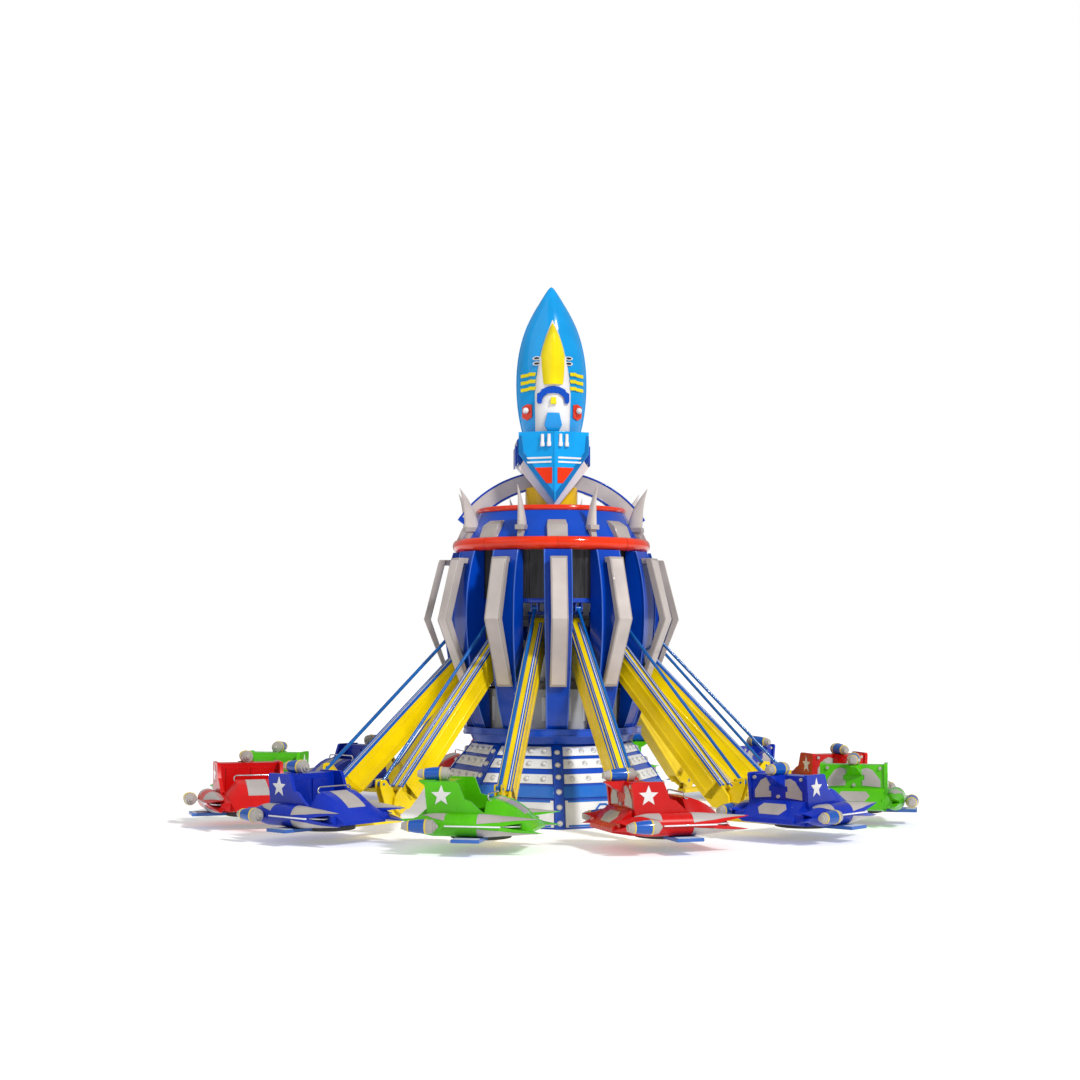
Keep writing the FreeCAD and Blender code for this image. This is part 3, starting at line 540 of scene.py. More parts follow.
rib_heights = np.linspace(deck_z1 + 0.002, rib_top_z - 0.002, 26)
rib_body = stations([(z, rib_back(z), rib_face(z) - 0.006, rib_half(z) - 0.006) for z in rib_heights])
rib_azimuths = [i * twelfth for i in range(ARMS)]
rib_blue = sprayed("rib_blue_gloss", (0.0, 0.052, 0.46), rough=0.16, coat=0.38)
piece("rib_boxes", spun([rib_body], rib_azimuths), rib_blue, "rotor", bevel=0.010,
      replaces=["ribs"], smooth=40)
# The beads are real, but their lighter, brighter blue is a painted highlight standing in for the gleam along
# the ribs' edges.
bead_painted_highlight = sprayed("rib_bead_painted_highlight", (0.06, 0.16, 0.66), rough=0.12, coat=0.42, dirt=0.1)
bead_w = 0.011


def rib_bead(sign):
    """Rolled edge bead, run up one side of a rib's face."""
    rows = []
    for z in rib_heights:
        y, r = sign * (rib_half(z) - 0.004), rib_face(z)
        rows.append([(r - bead_w, y - bead_w, z), (r + 0.008, y - bead_w, z),
                     (r + 0.008, y + bead_w, z), (r - bead_w, y + bead_w, z)])
    return loft(rows)


piece("rib_beads", spun([rib_bead(s) for s in (-1, 1)], rib_azimuths),
      bead_painted_highlight, "rotor", bevel=0.006, smooth=60)

# Rib guards: a grey cranked box bar stands off each rib on two brackets, its face framed by a
# shallow raised border as on a folded channel with a lid.
trim_grey = sprayed("trim_grey_paint", (0.40, 0.355, 0.335), rough=0.32, coat=0.3, dirt=0.2)
trim_light = sprayed("trim_grey_lid", (0.60, 0.53, 0.50), rough=0.3, coat=0.3, dirt=0.2)
bar_line = [(2.20, 1.70), (3.28, 2.13), (4.27, 1.88)]
bar_thick = [(2.20, 0.06), (3.28, 0.115), (4.27, 0.115)]
bar_half = 0.135
bar = stations([(z, r - on_line(bar_thick, z), r - 0.004, bar_half) for z, r in bar_line])
lid_rows = [(z, on_line(bar_line, z) - 0.02, on_line(bar_line, z) + 0.002, bar_half - 0.024)
            for z in (2.235, 3.28, 4.235)]
brackets = [stations([(z, rib_face(z) - 0.004, on_line(bar_line, z) - on_line(bar_thick, z) + 0.002, 0.10)
                      for z in heights]) for heights in ((4.18, 4.225, 4.27), (2.29, 2.335, 2.38))]
piece("rib_guard_bars", spun([bar] + brackets, rib_azimuths), trim_grey, "rotor",
      bevel=0.010, replaces=["rib_bars"])
piece("rib_guard_lids", spun([stations(lid_rows)], rib_azimuths), trim_light, "rotor",
      bevel=0.005)

# Upper drum: near-black smoked cladding behind the ribs, in tall curved panels with seams, over
# a blue ring beam that carries the levelling rods.
beam_low, beam_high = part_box("upper_drum")
beam_z0, cladding_top = beam_low[2], beam_high[2]
beam_z1 = beam_z0 + 0.07
drum_r = beam_high[0]
smoked, smoked_shader, smoked_place = new_finish("smoked_cladding", coat=0.3)
streak = smoked_place.node("Mapping", Vector=smoked_place, Scale=(3.0, 3.0, 0.35))
stain = noise(streak, 2.4, 5.0)
feed(smoked_place, smoked_shader, "Base Color", stain.above(0.5, 0.25).mix((0.012, 0.012, 0.013),
                                                                         (0.060, 0.058, 0.060)))
feed(smoked_place, smoked_shader, "Roughness", stain * 0.35 + 0.12)
piece("cladding_drum", [hoop([(1.30, beam_z1), (drum_r - 0.006, beam_z1), (drum_r - 0.006, cladding_top),
                              (1.30, cladding_top)], 96)], smoked, "rotor",
      replaces=["upper_drum"], smooth=30)
seams = [block(drum_r - 0.014, drum_r + 0.003, y - 0.006, y + 0.006, beam_z1 + 0.02,
               cladding_top - 0.02) for y in (0.0,)]
piece("cladding_seams", spun(seams, [6 + 12 * i for i in range(30)]), slot_dark, "rotor",
      bevel=0.003)
piece("ring_beam", [hoop([(0.62, beam_z0), (drum_r, beam_z0), (drum_r + 0.01, beam_z0 + 0.035),
                          (drum_r, beam_z1), (0.62, beam_z1)], 96)],
      rib_blue, "rotor", bevel=0.006)

# Pivot brackets: flame-cut steel lugs in blue, bolted to the column for the arms and under the
# ring beam for the rods, with a bolted cap block across each arm head.
for lug_node in ("arm_brackets",):
    for slot_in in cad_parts[lug_node].material_slots:
        slot_in.link = "OBJECT"
        slot_in.material = tower_blue
arm_azimuths = [twelfth / 2 + i * twelfth for i in range(ARMS)]
pivot_r, pivot_z, knuckle_r, knuckle_z = 1.05, 3.08, 3.62, 0.40
cap_block = block(pivot_r - 0.09, pivot_r + 0.06, -0.17, 0.17, pivot_z + 0.275, pivot_z + 0.315)
cap_sides = [block(pivot_r - 0.09, pivot_r + 0.06, s * 0.145 - 0.012, s * 0.145 + 0.012,
                   pivot_z + 0.08, pivot_z + 0.285) for s in (-1, 1)]
nuts = [column_of([(0.02, pivot_z + 0.315), (0.02, pivot_z + 0.335), (0.012, pivot_z + 0.337),
                   (0.012, pivot_z + 0.352)], 6, (pivot_r - 0.015 + dx, y))
        for dx in (-0.045, 0.045) for y in (-0.13, 0.13)]
piece("pivot_cap_blocks", spun([cap_block] + cap_sides, arm_azimuths), tower_blue, "rotor",
      bevel=0.006)
piece("pivot_cap_nuts", spun(nuts, arm_azimuths), bezel_finish, "rotor")

# Machinery: base plate, pedestal, slewing gear and drives keep their made shapes; they get
# machined, cast or painted steel.
machined, machined_shader, machined_place = new_finish("machined_steel", metallic=0.9)
grain = machined_place.node("Mapping", Vector=machined_place, Scale=(1.0, 1.0, 40.0))
grain = noise(grain, 9.0, 3.0)
feed(machined_place, machined_shader, "Base Color", grain.mix((0.34, 0.35, 0.37), (0.56, 0.57, 0.59)))
feed(machined_place, machined_shader, "Roughness", grain * 0.3 + 0.25)
drive_paint = sprayed("drive_grey_paint", (0.10, 0.13, 0.16), rough=0.45, coat=0.1)
for node_name, finish in (("base_plate", column_grey), ("pedestal", drive_paint),
                          ("drive_motor", drive_paint), ("drive_pinion", machined),
                          ("slew_ring", machined), ("lift_drives", drive_paint)):
    for slot_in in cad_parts[node_name].material_slots:
        slot_in.link = "OBJECT"
        slot_in.material = finish

# ---------------------------------------------------------------------------------------------
# Red ring: a fat D-section glass-fibre moulding in two shades of one orange red, split into
# bolted segments; it caps the ribs. A slimmer round one closes the crown.
signal_red = sprayed("ring_red_gloss", (0.80, 0.030, 0.0), rough=0.12, coat=0.42, dirt=0.1)
ring_low, ring_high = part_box("red_rings")
ring_r, ring_z0 = ring_high[0], ring_low[2]
ring_h = 0.20
bow = np.linspace(-90, 62, 14)
ring_profile = [(ring_r - 0.10 + 0.10 * math.cos(math.radians(t)),
                 ring_z0 + 0.11 + 0.11 * math.sin(math.radians(t))) for t in bow]
ring_profile += [(1.50, ring_z0 + ring_h), (1.22, ring_z0 + ring_h), (1.22, ring_z0)]
piece("red_ring_big", [hoop(ring_profile, 144)], signal_red, "rotor",
      replaces=["red_rings"], smooth=45)
ring_joints = [plate_y([(ring_r - 0.10 + 0.104 * math.cos(math.radians(t)),
                         ring_z0 + 0.11 + 0.114 * math.sin(math.radians(t))) for t in bow]
                       + [(1.53, ring_z0 + 0.19)], -0.004, 0.004)]
ring_dark = sprayed("ring_joint_red", (0.48, 0.02, 0.0), rough=0.3)
piece("red_ring_joints", spun(ring_joints, [i * 45.0 for i in range(8)]), ring_dark, "rotor")
crown_z0, crown_z1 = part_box("crown_shell")[0][2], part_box("crown_shell")[1][2]
crown_foot_r, crown_top_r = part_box("crown_shell")[1][0], 1.23
cap_r, cap_z1 = 1.25, ring_high[2]
top_tube = [(cap_r - 0.045 + 0.045 * math.cos(a), crown_z1 + 0.045 + 0.045 * math.sin(a))
            for a in np.linspace(0, 2 * np.pi, 16, endpoint=False)]
piece("red_ring_small", [hoop(top_tube, 128)], signal_red, "rotor", smooth=60)

# Crown: a blue glass-fibre cone between the two rings with a rolled step near its top, and a
# flat blue lid; its bolted seams are not drawn.
crown_line = [(crown_foot_r, crown_z0), (crown_foot_r - 0.16, crown_z0 + 0.25),
              (crown_foot_r - 0.175, crown_z0 + 0.26), (crown_top_r + 0.035, crown_z1 - 0.06),
              (crown_top_r, crown_z1), (crown_top_r - 0.02, crown_z1),
              (crown_foot_r - 0.10, crown_z0)]
piece("crown_cone", [hoop(crown_line, 128)], tower_blue, "rotor",
      replaces=["crown_shell"], smooth=30)
piece("crown_lid", [column_of([(1.20, crown_z1 - 0.01), (1.21, cap_z1 - 0.012), (1.19, cap_z1)], 96)],
      tower_blue, "rotor", smooth=30)


def crown_at(z):
    """Radius of the crown's skin at a height."""
    return on_line([(crown_z0, crown_foot_r), (crown_z1, crown_top_r)], z)


# Crown blocks and horns: eight grey moulded blocks on the cone and, between them, eight horns
# that curl outwards to a point, each on a small foot; all are bolted through the skin.
spike_count = 8
spike_azimuths = [i * 360.0 / spike_count for i in range(spike_count)]
horn_azimuths = [a + 180.0 / spike_count for a in spike_azimuths]
crown_block = stations([(crown_z0 + 0.002, crown_at(crown_z0) - 0.03, crown_at(crown_z0) + 0.07, 0.165),
                        (crown_z0 + 0.20, crown_at(crown_z0 + 0.2) - 0.03,
                         crown_at(crown_z0 + 0.2) + 0.11, 0.165),
                        (crown_z0 + 0.29, crown_at(crown_z0 + 0.29) - 0.03,
                         crown_at(crown_z0 + 0.29) + 0.02, 0.145)])
piece("crown_blocks", spun([crown_block], spike_azimuths), trim_grey, "rotor",
      bevel=0.010, replaces=["crown_horns"])
horn_z0, horn_tip_z = crown_z0 + 0.15, cap_z1 + 0.30
horn_spine = np.array([(0.0, 1.455, 0.130, 0.078), (0.25, 1.475, 0.118, 0.060), (0.5, 1.515, 0.088, 0.042),
                       (0.75, 1.580, 0.050, 0.024), (1.0, 1.675, 0.003, 0.003)])
horn_rows = []
for t in np.linspace(0, 1, 18):
    r, deep, wide = (np.interp(t, horn_spine[:, 0], horn_spine[:, i]) for i in (1, 2, 3))
    around_horn = np.linspace(0, 2 * np.pi, 16, endpoint=False)
    horn_rows.append(np.stack([r + deep * np.cos(around_horn), wide * np.sin(around_horn),
                               0 * around_horn + horn_z0 + t * (horn_tip_z - horn_z0)], -1))
horn_foot = stations([(crown_z0 + 0.002, crown_at(crown_z0) - 0.02, crown_at(crown_z0) + 0.055, 0.05),
                      (crown_z0 + 0.15, crown_at(crown_z0 + 0.15) - 0.02,
                       crown_at(crown_z0 + 0.15) + 0.10, 0.05)])
horn_collar = stations([(horn_z0 - 0.03, crown_at(horn_z0) - 0.02, 1.60, 0.075),
                        (horn_z0 + 0.05, crown_at(horn_z0) - 0.02, 1.585, 0.082)])
piece("crown_horn_shells", spun([loft(horn_rows)], horn_azimuths), trim_light, "rotor",
      smooth=50)
piece("crown_horn_feet", spun([horn_foot, horn_collar], horn_azimuths), trim_grey, "rotor",
      bevel=0.008)

# Arch: a rolled box-section hoop in two halves that springs from the crown and runs into the
# rocket's body; its grey face is framed by a blue rim, and each foot ends in a blue point.
arch_low, arch_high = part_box("arch")
arch_half, arch_peak, arch_band, arch_deep = arch_high[0], ring_z0 + 1.39, 0.30, 0.075
core_x = 0.60
arch_rise = 0.83
arch_r = (arch_half ** 2 + arch_rise ** 2) / (2 * arch_rise)
arch_centre_z = arch_peak - arch_r
arch_foot_z = arch_low[2] + 0.004


def arch_rows(r_in, r_out, y0, y1, start, end, count=22):
    """Half hoop on the +X side: a box section swept through circular arcs about one centre."""
    rows = []
    for a in np.linspace(start, end, count):
        s, c = math.sin(a), math.cos(a)
        rows.append([(r_in * s, y0, arch_centre_z + r_in * c), (r_out * s, y0, arch_centre_z + r_out * c),
                     (r_out * s, y1, arch_centre_z + r_out * c), (r_in * s, y1, arch_centre_z + r_in * c)])
    return loft(rows)


arch_start = math.asin(0.30 / arch_r)
arch_end = math.acos((arch_foot_z - arch_centre_z + 0.02) / (arch_r - arch_band / 2)) * 0.985
half_turn = np.array([-1.0, -1.0, 1.0])
face_skin = arch_rows(arch_r - arch_band + 0.03, arch_r - 0.03, -arch_deep + 0.006, arch_deep - 0.006,
                      arch_start, arch_end)
rim_skins = [arch_rows(arch_r - 0.034, arch_r - 0.002, -arch_deep, arch_deep, arch_start, arch_end),
             arch_rows(arch_r - arch_band, arch_r - arch_band + 0.034, -arch_deep, arch_deep,
                       arch_start, arch_end)]
foot_x, foot_z = arch_r * math.sin(arch_end), arch_centre_z + arch_r * math.cos(arch_end)
foot_in_x = (arch_r - arch_band) * math.sin(arch_end)
foot_in_z = arch_centre_z + (arch_r - arch_band) * math.cos(arch_end)
rim_skins.append(plate_y([(foot_in_x, foot_in_z), (foot_x, foot_z), (foot_x + 0.05, foot_z - 0.07),
                          (foot_in_x + 0.12, foot_in_z - 0.02)], -arch_deep - 0.004, arch_deep + 0.004))
both = lambda skins: skins + [(v * half_turn, f) for v, f in skins]
piece("arch_faces", both([face_skin]), trim_light, "rotor", bevel=0.004,
      replaces=["arch"], smooth=40)
piece("arch_rims", both(rim_skins), rib_blue, "rotor", bevel=0.006, smooth=40)

# Neck: a short gold-painted tube with a bolted flange at its foot, between the crown's lid and
# the rocket.
neck_low, neck_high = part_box("neck")
neck_r, neck_z0, neck_z1 = neck_high[0], neck_low[2], neck_high[2]
neck_gold = sprayed("neck_gold_gloss", (0.95, 0.52, 0.0), rough=0.12, coat=0.42, dirt=0.1)
piece("neck_tube", [column_of([(neck_r, neck_z0 + 0.001), (neck_r, neck_z0 + 0.03),
                               (neck_r - 0.012, neck_z0 + 0.034), (neck_r - 0.012, neck_z1 - 0.02),
                               (neck_r - 0.02, neck_z1 - 0.001)], 96)],
      neck_gold, "rotor", replaces=["neck"], smooth=30)
neck_bolts = [column_of([(0.014, neck_z0 + 0.03), (0.014, neck_z0 + 0.045)], 6,
                        (neck_r - 0.018, 0.0))]
piece("neck_bolts", spun(neck_bolts, [i * 22.5 for i in range(16)]), bezel_finish, "rotor")

# ---------------------------------------------------------------------------------------------
# Rocket: a tall pointed hull of sky-blue glass fibre, laid up in two halves that meet in a soft
# keel line front and back, standing on a dark blue body box.
rocket_low, rocket_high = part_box("rocket_hull")
tip_z = rocket_high[2] - 0.002
prow_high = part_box("rocket_prow")[1]
hull_z0 = prow_high[2]
hull_tall = tip_z - hull_z0
hull_heights, hull_halves = np.array([(0.0, 0.465), (0.54, 0.560), (0.93, 0.585), (1.34, 0.545),
                                      (1.74, 0.440), (2.14, 0.270), (2.39, 0.118)]).T
hull_curve = np.polynomial.Polynomial.fit(hull_heights,
                                          hull_halves / np.sqrt(1 - hull_heights / hull_tall), 4)
hull_deep = 0.78
keel_power = 1.62


def hull_half(z):
    """Half width of the hull: a smooth curve through its stations times a square root that
    rounds the tip off."""
    up = np.asarray(z, float) - hull_z0
    return np.maximum(np.sqrt(np.clip(1 - up / hull_tall, 0, 1)) * hull_curve(up), 0.006)


def hull_front(x, z):
    """How far the hull's skin stands in front of its middle plane at (x, z): a soft diamond."""
    w = hull_half(z)
    share = np.clip(np.abs(x) / w, 0, 0.999)
    return hull_deep * w * (1 - share ** keel_power) ** (1 / keel_power)


sky_blue = sprayed("rocket_sky_gloss", (0.0, 0.33, 0.78), rough=0.14, coat=0.38, dirt=0.0)
turn = np.linspace(0, 2 * np.pi, 64, endpoint=False)
soft_x = np.sign(np.cos(turn)) * np.abs(np.cos(turn)) ** (2 / keel_power)
soft_y = np.sign(np.sin(turn)) * np.abs(np.sin(turn)) ** (2 / keel_power)
hull_rings = [np.stack([hull_half(z) * soft_x, hull_deep * hull_half(z) * soft_y, 0 * turn + z], -1)
              for z in np.concatenate([np.linspace(hull_z0, tip_z - 0.35, 44),
                                       np.linspace(tip_z - 0.33, tip_z, 14)])]
piece("rocket_hull_shell", [loft(hull_rings)], sky_blue, "rotor",
      replaces=["rocket_hull"], smooth=60)
seam_z = np.linspace(hull_z0 + 0.02, tip_z - 0.32, 40)
seam_r = 0.011 * np.clip((tip_z - 0.30 - seam_z) / 0.40, 0.1, 1.0)
for seam_side in (-1, 1):
    rail = np.stack([seam_side * (hull_half(seam_z) + 0.002), 0 * seam_z, seam_z], -1)
    piece("rocket_seam_%s" % ("right" if seam_side > 0 else "left"), [pipe(rail, seam_r, 8)], sky_blue,
          "rotor", smooth=60)
core_z0, core_y = rocket_low[2], 0.46
navy = sprayed("rocket_navy_gloss", (0.0, 0.05, 0.34), rough=0.2, coat=0.34, dirt=0.0)
core_skins = [block(-core_x, core_x, -core_y + 0.004, core_y, 5.86, hull_z0 - 0.10)]
core_skins += [loft([[(-x, -y, z), (x, -y, z), (x, y, z), (-x, y, z)] for x, y, z in rows]) for rows in
               (((0.20, 0.38, core_z0 + 0.002), (0.34, 0.42, 5.62), (0.46, 0.44, 5.72), (0.58, 0.45, 5.86)),
                ((0.59, 0.455, hull_z0 - 0.10), (0.50, 0.40, hull_z0 + 0.01)))]
piece("rocket_body_box", core_skins, navy, "rotor", bevel=0.015, segments=3)
side_pads = [block(core_x - 0.004, core_x + 0.025, y - 0.14, y + 0.14, core_z0 + 0.34, hull_z0 - 0.20)
             for y in (-0.22, 0.20)]
rear_nozzle = [(tilted(v, 0, 0, 0), f) for v, f in [disc([(core_y - 0.01, 0.20), (core_y + 0.05, 0.22),
               (core_y + 0.05, 0.17), (core_y + 0.01, 0.15)], 32)]]
rear = [(np.stack([v[:, 1], v[:, 0], v[:, 2] + core_z0 + 0.52], -1), f) for v, f in rear_nozzle]
piece("rocket_side_pads", both(side_pads) + rear, tower_blue, "rotor", bevel=0.010)

# Rocket front: a white fuselage fairing with a pointed yellow canopy, a dark blue visor and
# small moulded details, all glued and screwed to the hull.
gloss_white = sprayed("rocket_white_gloss", (0.82, 0.80, 0.79), rough=0.16, coat=0.34, dirt=0.0)
gloss_yellow = sprayed("rocket_yellow_gloss", (0.90, 0.72, 0.0), rough=0.18, coat=0.34, dirt=0.0)
bright_blue = sprayed("rocket_visor_blue", (0.0, 0.07, 0.50), rough=0.2, coat=0.34, dirt=0.0)
gloss_black, black_shader, black_place = new_finish("rocket_black_gloss", coat=0.38)
feed(black_place, black_shader, "Base Color",
     noise(black_place, 7.0).mix((0.01, 0.01, 0.01), (0.03, 0.03, 0.03)))
feed(black_place, black_shader, "Roughness", noise(black_place, 20.0) * 0.2 + 0.1)


def fairing(name, line, proud, power, finish, count=40):
    """Fairing on the hull's front: half-width from (height, half) pairs; each ring is a bowed
    front standing proud of the hull and a flat back inside it."""
    heights, halves = np.array(line).T
    rings = []
    for z in np.linspace(heights[0], heights[-1], count):
        w = float(np.interp(z, heights, halves))
        x = np.linspace(-w, w, 17)
        swell = (1 - np.clip(np.abs(x) / max(w, 1e-4), 0, 1) ** power) ** (1 / power)
        front = hull_front(x, z) + proud * min(1.0, w / 0.10) * (0.18 + 0.82 * swell)
        back = np.full(2, max(0.5 * float(hull_front(0.0, z)), 0.004))
        rings.append(np.stack([np.append(x, [w, -w]), -np.append(front, back), np.full(19, z)], -1))
    return piece(name, [loft(rings)], finish, "rotor", smooth=50)


fairing("rocket_fairing", [(hull_z0 + 0.005, 0.285), (6.70, 0.292), (7.00, 0.300), (7.25, 0.282),
                           (7.44, 0.252), (7.635, 0.218), (7.85, 0.165), (8.05, 0.102), (8.28, 0.005)],
        0.085, 2.2, gloss_white)
fairing("rocket_canopy", [(7.17, 0.186), (7.22, 0.198), (7.45, 0.212), (7.635, 0.208), (7.80, 0.176),
                          (7.97, 0.124), (8.12, 0.066), (8.25, 0.004)], 0.150, 1.6, gloss_yellow)


def on_hull(outline, out, sink=0.02, base=0.0):
    """Plate that follows the hull's front: an (x, z) outline sunk into the skin and standing out."""
    x, z = np.array(outline).T
    y = hull_front(x, z) + base
    return loft([np.stack([x, -(y - sink), z], -1), np.stack([x, -(y + out), z], -1)])


visor_y = 0.075
visor_half = [(0.0, 7.140), (0.09, 7.130), (0.20, 7.085), (0.215, 7.045), (0.268, 7.020), (0.272, 6.900),
              (0.255, 6.855), (0.195, 6.855), (0.185, 6.930), (0.165, 6.965), (0.090, 7.015), (0.0, 7.022)]
visor = [on_hull(visor_half + [(-x, z) for x, z in visor_half[-2:0:-1]], 0.040, base=visor_y)]
piece("rocket_visor", visor, bright_blue, "rotor", bevel=0.006)
piece("rocket_lamp_block", [on_hull([(-0.052, 6.840), (0.052, 6.840), (0.040, 6.952), (-0.040, 6.952)],
                                    0.055, base=visor_y)], gloss_yellow, "rotor", bevel=0.008)
piece("rocket_scoop", [on_hull([(-0.10, 6.405), (0.10, 6.405), (0.15, 6.50), (0.100, 6.70), (-0.100, 6.70),
                                (-0.15, 6.50)], 0.05, base=visor_y)], sky_blue, "rotor",
      bevel=0.010)
mirror = np.array([-1.0, 1.0, 1.0])
both_sides = lambda skins: skins + [(v * mirror, f) for v, f in skins]
bars = [on_hull([(0.285, z + 0.030), (0.385, z + 0.038), (0.41, z + 0.022), (0.525, z + 0.018),
                 (0.525, z - 0.042), (0.41, z - 0.034), (0.385, z - 0.022), (0.295, z - 0.028)], 0.035)
        for z in (7.355, 7.235, 7.118)]
piece("rocket_gill_bars", both_sides(bars), gloss_yellow, "rotor", bevel=0.007)
oval = np.linspace(0, 2 * np.pi, 24, endpoint=False)
port_rims = [on_hull([(0.27 + 0.066 * math.cos(t), z + 0.032 * math.sin(t)) for t in oval], 0.03)
             for z in (7.625, 7.535)]
port_holes = [on_hull([(0.27 + 0.046 * math.cos(t), z + 0.019 * math.sin(t)) for t in oval], 0.034)
              for z in (7.625, 7.535)]
piece("rocket_port_rims", both_sides(port_rims), gloss_white, "rotor", bevel=0.004)
piece("rocket_port_holes", both_sides(port_holes), gloss_black, "rotor")
lamp_red = [on_hull([(0.345, 6.64), (0.42, 6.60), (0.50, 6.65), (0.50, 6.83), (0.42, 6.87),
                     (0.345, 6.85)], 0.03)]
piece("rocket_lamp_plates", both_sides(lamp_red), signal_red, "rotor", bevel=0.008)
knob_y = -float(hull_front(0.44, 6.76)) - 0.015
knob = disc([(0.0, 0.050), (0.05, 0.052), (0.085, 0.042), (0.10, 0.02)], 20)
knob = (np.stack([knob[0][:, 1] + 0.445, knob_y - knob[0][:, 0], knob[0][:, 2] + 6.76], -1), knob[1])
piece("rocket_lamp_knobs", both_sides([knob]), gloss_white, "rotor", smooth=50)

# Prow: a shield-shaped sky-blue block with a sharp ridge down its middle, over a pinkish white
# backing layer; it carries two pairs of white rods and strips and two red panes, and a darker blue band of
# painted shade along its outer edges.
prow_half, prow_tall, prow_square = 0.58, 1.18, 0.36
ridge_y, shoulder_y, back_y = 0.90, 0.64, 0.60
prow_top, prow_tip = hull_z0, hull_z0 - prow_tall
cut_z = prow_top - prow_square


def prow_face(x):
    """How far forward the prow's face stands at x: straight from the ridge to the shoulder."""
    return ridge_y - (ridge_y - shoulder_y) * np.abs(x) / prow_half


half_outline = np.array([(0.0, prow_top), (prow_half, prow_top), (prow_half, cut_z), (0.0, prow_tip)])


def prow_wedge(grow, y_shift):
    """Right half of the prow: its outline at the back plane and on the sloping face."""
    x, z = half_outline.T
    return loft([np.stack([x, 0 * x - back_y + 0.002, z], -1),
                 np.stack([x, -(prow_face(x) + y_shift), z], -1)])


piece("prow_shield", both_sides([prow_wedge(0, 0)]), sky_blue, "rotor", bevel=0.006,
      replaces=["rocket_prow"])
liner_tip = 5.16
liner_half = np.array([(0.0, cut_z + 0.04), (0.50, cut_z + 0.04), (0.50, 5.89), (0.575, 5.77),
                       (0.06, liner_tip - 0.03), (0.0, liner_tip - 0.03)])
blush_white = sprayed("prow_blush_white", (0.80, 0.66, 0.62), rough=0.25, coat=0.5, dirt=0.0)
piece("prow_liner", both_sides([loft([np.stack([liner_half[:, 0], 0 * liner_half[:, 0] + y,
                                                liner_half[:, 1]], -1)
                                      for y in (-back_y, -core_y - 0.003)])]),
      blush_white, "rotor", bevel=0.010)


def on_prow(outline, out):
    """Plate lying on the prow's sloping face."""
    x, z = np.array(outline).T
    y = prow_face(x)
    return loft([np.stack([x, -(y - 0.01), z], -1), np.stack([x, -(y + out), z], -1)])


strips = [on_prow([(0.055, z), (0.055, z + 0.030), (0.455, z + 0.030), (0.435, z)], 0.012)
          for z in (5.905, 5.835)]
# The darker blue band along the shield's outer edges is painted shade, standing in for the shaded side faces
# of the wedge.
painted_shade_blue = sprayed("prow_painted_shade_blue", (0.0, 0.15, 0.42), rough=0.2, coat=0.3, dirt=0.0)
piece("prow_painted_shade_band", both_sides([on_prow([(0.574, cut_z + 0.30), (0.574, cut_z), (0.006, prow_tip + 0.012),
                                         (0.006, prow_tip + 0.16), (0.505, cut_z + 0.03),
                                         (0.53, cut_z + 0.30)], 0.006)]),
      painted_shade_blue, "rotor", bevel=0.003)
piece("prow_strips", both_sides(strips), gloss_white, "rotor", bevel=0.003)
piece("prow_panes",
      both_sides([on_prow([(0.045, 5.76), (0.325, 5.76), (0.135, 5.50), (0.045, 5.50)], 0.012)]),
      signal_red, "rotor", bevel=0.003)
for rod_x in (0.095, 0.20):
    rod_y = -float(prow_face(rod_x)) - 0.022
    rod_z = np.array([prow_top - 0.05, prow_top - 0.055, prow_top - 0.18, prow_top - 0.19,
                      prow_top - 0.25, prow_top - 0.258])
    rod_r = np.array([0.020, 0.028, 0.028, 0.036, 0.036, 0.024])
    rods = [pipe(np.stack([0 * rod_z + rod_x, 0 * rod_z + rod_y, rod_z], -1), rod_r, 14)]
    piece("prow_rods_%s" % ("inner" if rod_x < 0.15 else "outer"), both_sides(rods), gloss_white,
          "rotor", smooth=50)
ridge = [plate_y([(-0.012, prow_top - 0.01), (0.012, prow_top - 0.01), (0.012, prow_tip + 0.03),
                  (-0.012, prow_tip + 0.03)], -ridge_y - 0.008, -ridge_y + 0.02)]
piece("prow_ridge", ridge, sky_blue, "rotor", bevel=0.004)

# ---------------------------------------------------------------------------------------------
# Arms: welded steel box beams in yellow, folded lengthways for stiffness, with two lines of
# light strip on blue covers along the top, and side cheeks round a forged tongue at the knuckle.
arm_yellow = sprayed("arm_yellow_gloss", (0.92, 0.66, 0.0), rough=0.24, coat=0.25, dirt=0.08)
strip_blue = sprayed("arm_strip_blue", (0.0, 0.10, 0.52), rough=0.18, coat=0.3, dirt=0.1)
strip_white, strip_shader, strip_place = new_finish("light_strip_diffuser", coat=0.5)
cell = strip_place.node("TexVoronoi", Vector=strip_place, Scale=22.0)
feed(strip_place, strip_shader, "Base Color",
     cell.above(0.32, 0.2).mix((0.80, 0.83, 0.90), (0.72, 0.77, 0.87)))
feed(strip_place, strip_shader, "Roughness", cell * 0.2 + 0.2)
arm_run, arm_drop = knuckle_r - pivot_r, pivot_z - knuckle_z
arm_long = math.hypot(arm_run, arm_drop)
arm_wide, arm_deep_half, arm_tail, arm_stop = 0.235, 0.195, 0.15, 0.22


def on_arm(s, n):
    """(X, Z) of a point s along the arm from its pivot and n square to it, upwards."""
    return (pivot_r + s * arm_run / arm_long + n * arm_drop / arm_long,
            pivot_z - s * arm_drop / arm_long + n * arm_run / arm_long)


def arm_bar(s0, s1, n0, n1, y0, y1):
    """Straight bar along the arm between two lengths, two depths and two sides."""
    return plate_y([on_arm(s0, n0), on_arm(s1, n0), on_arm(s1, n1), on_arm(s0, n1)], y0, y1)


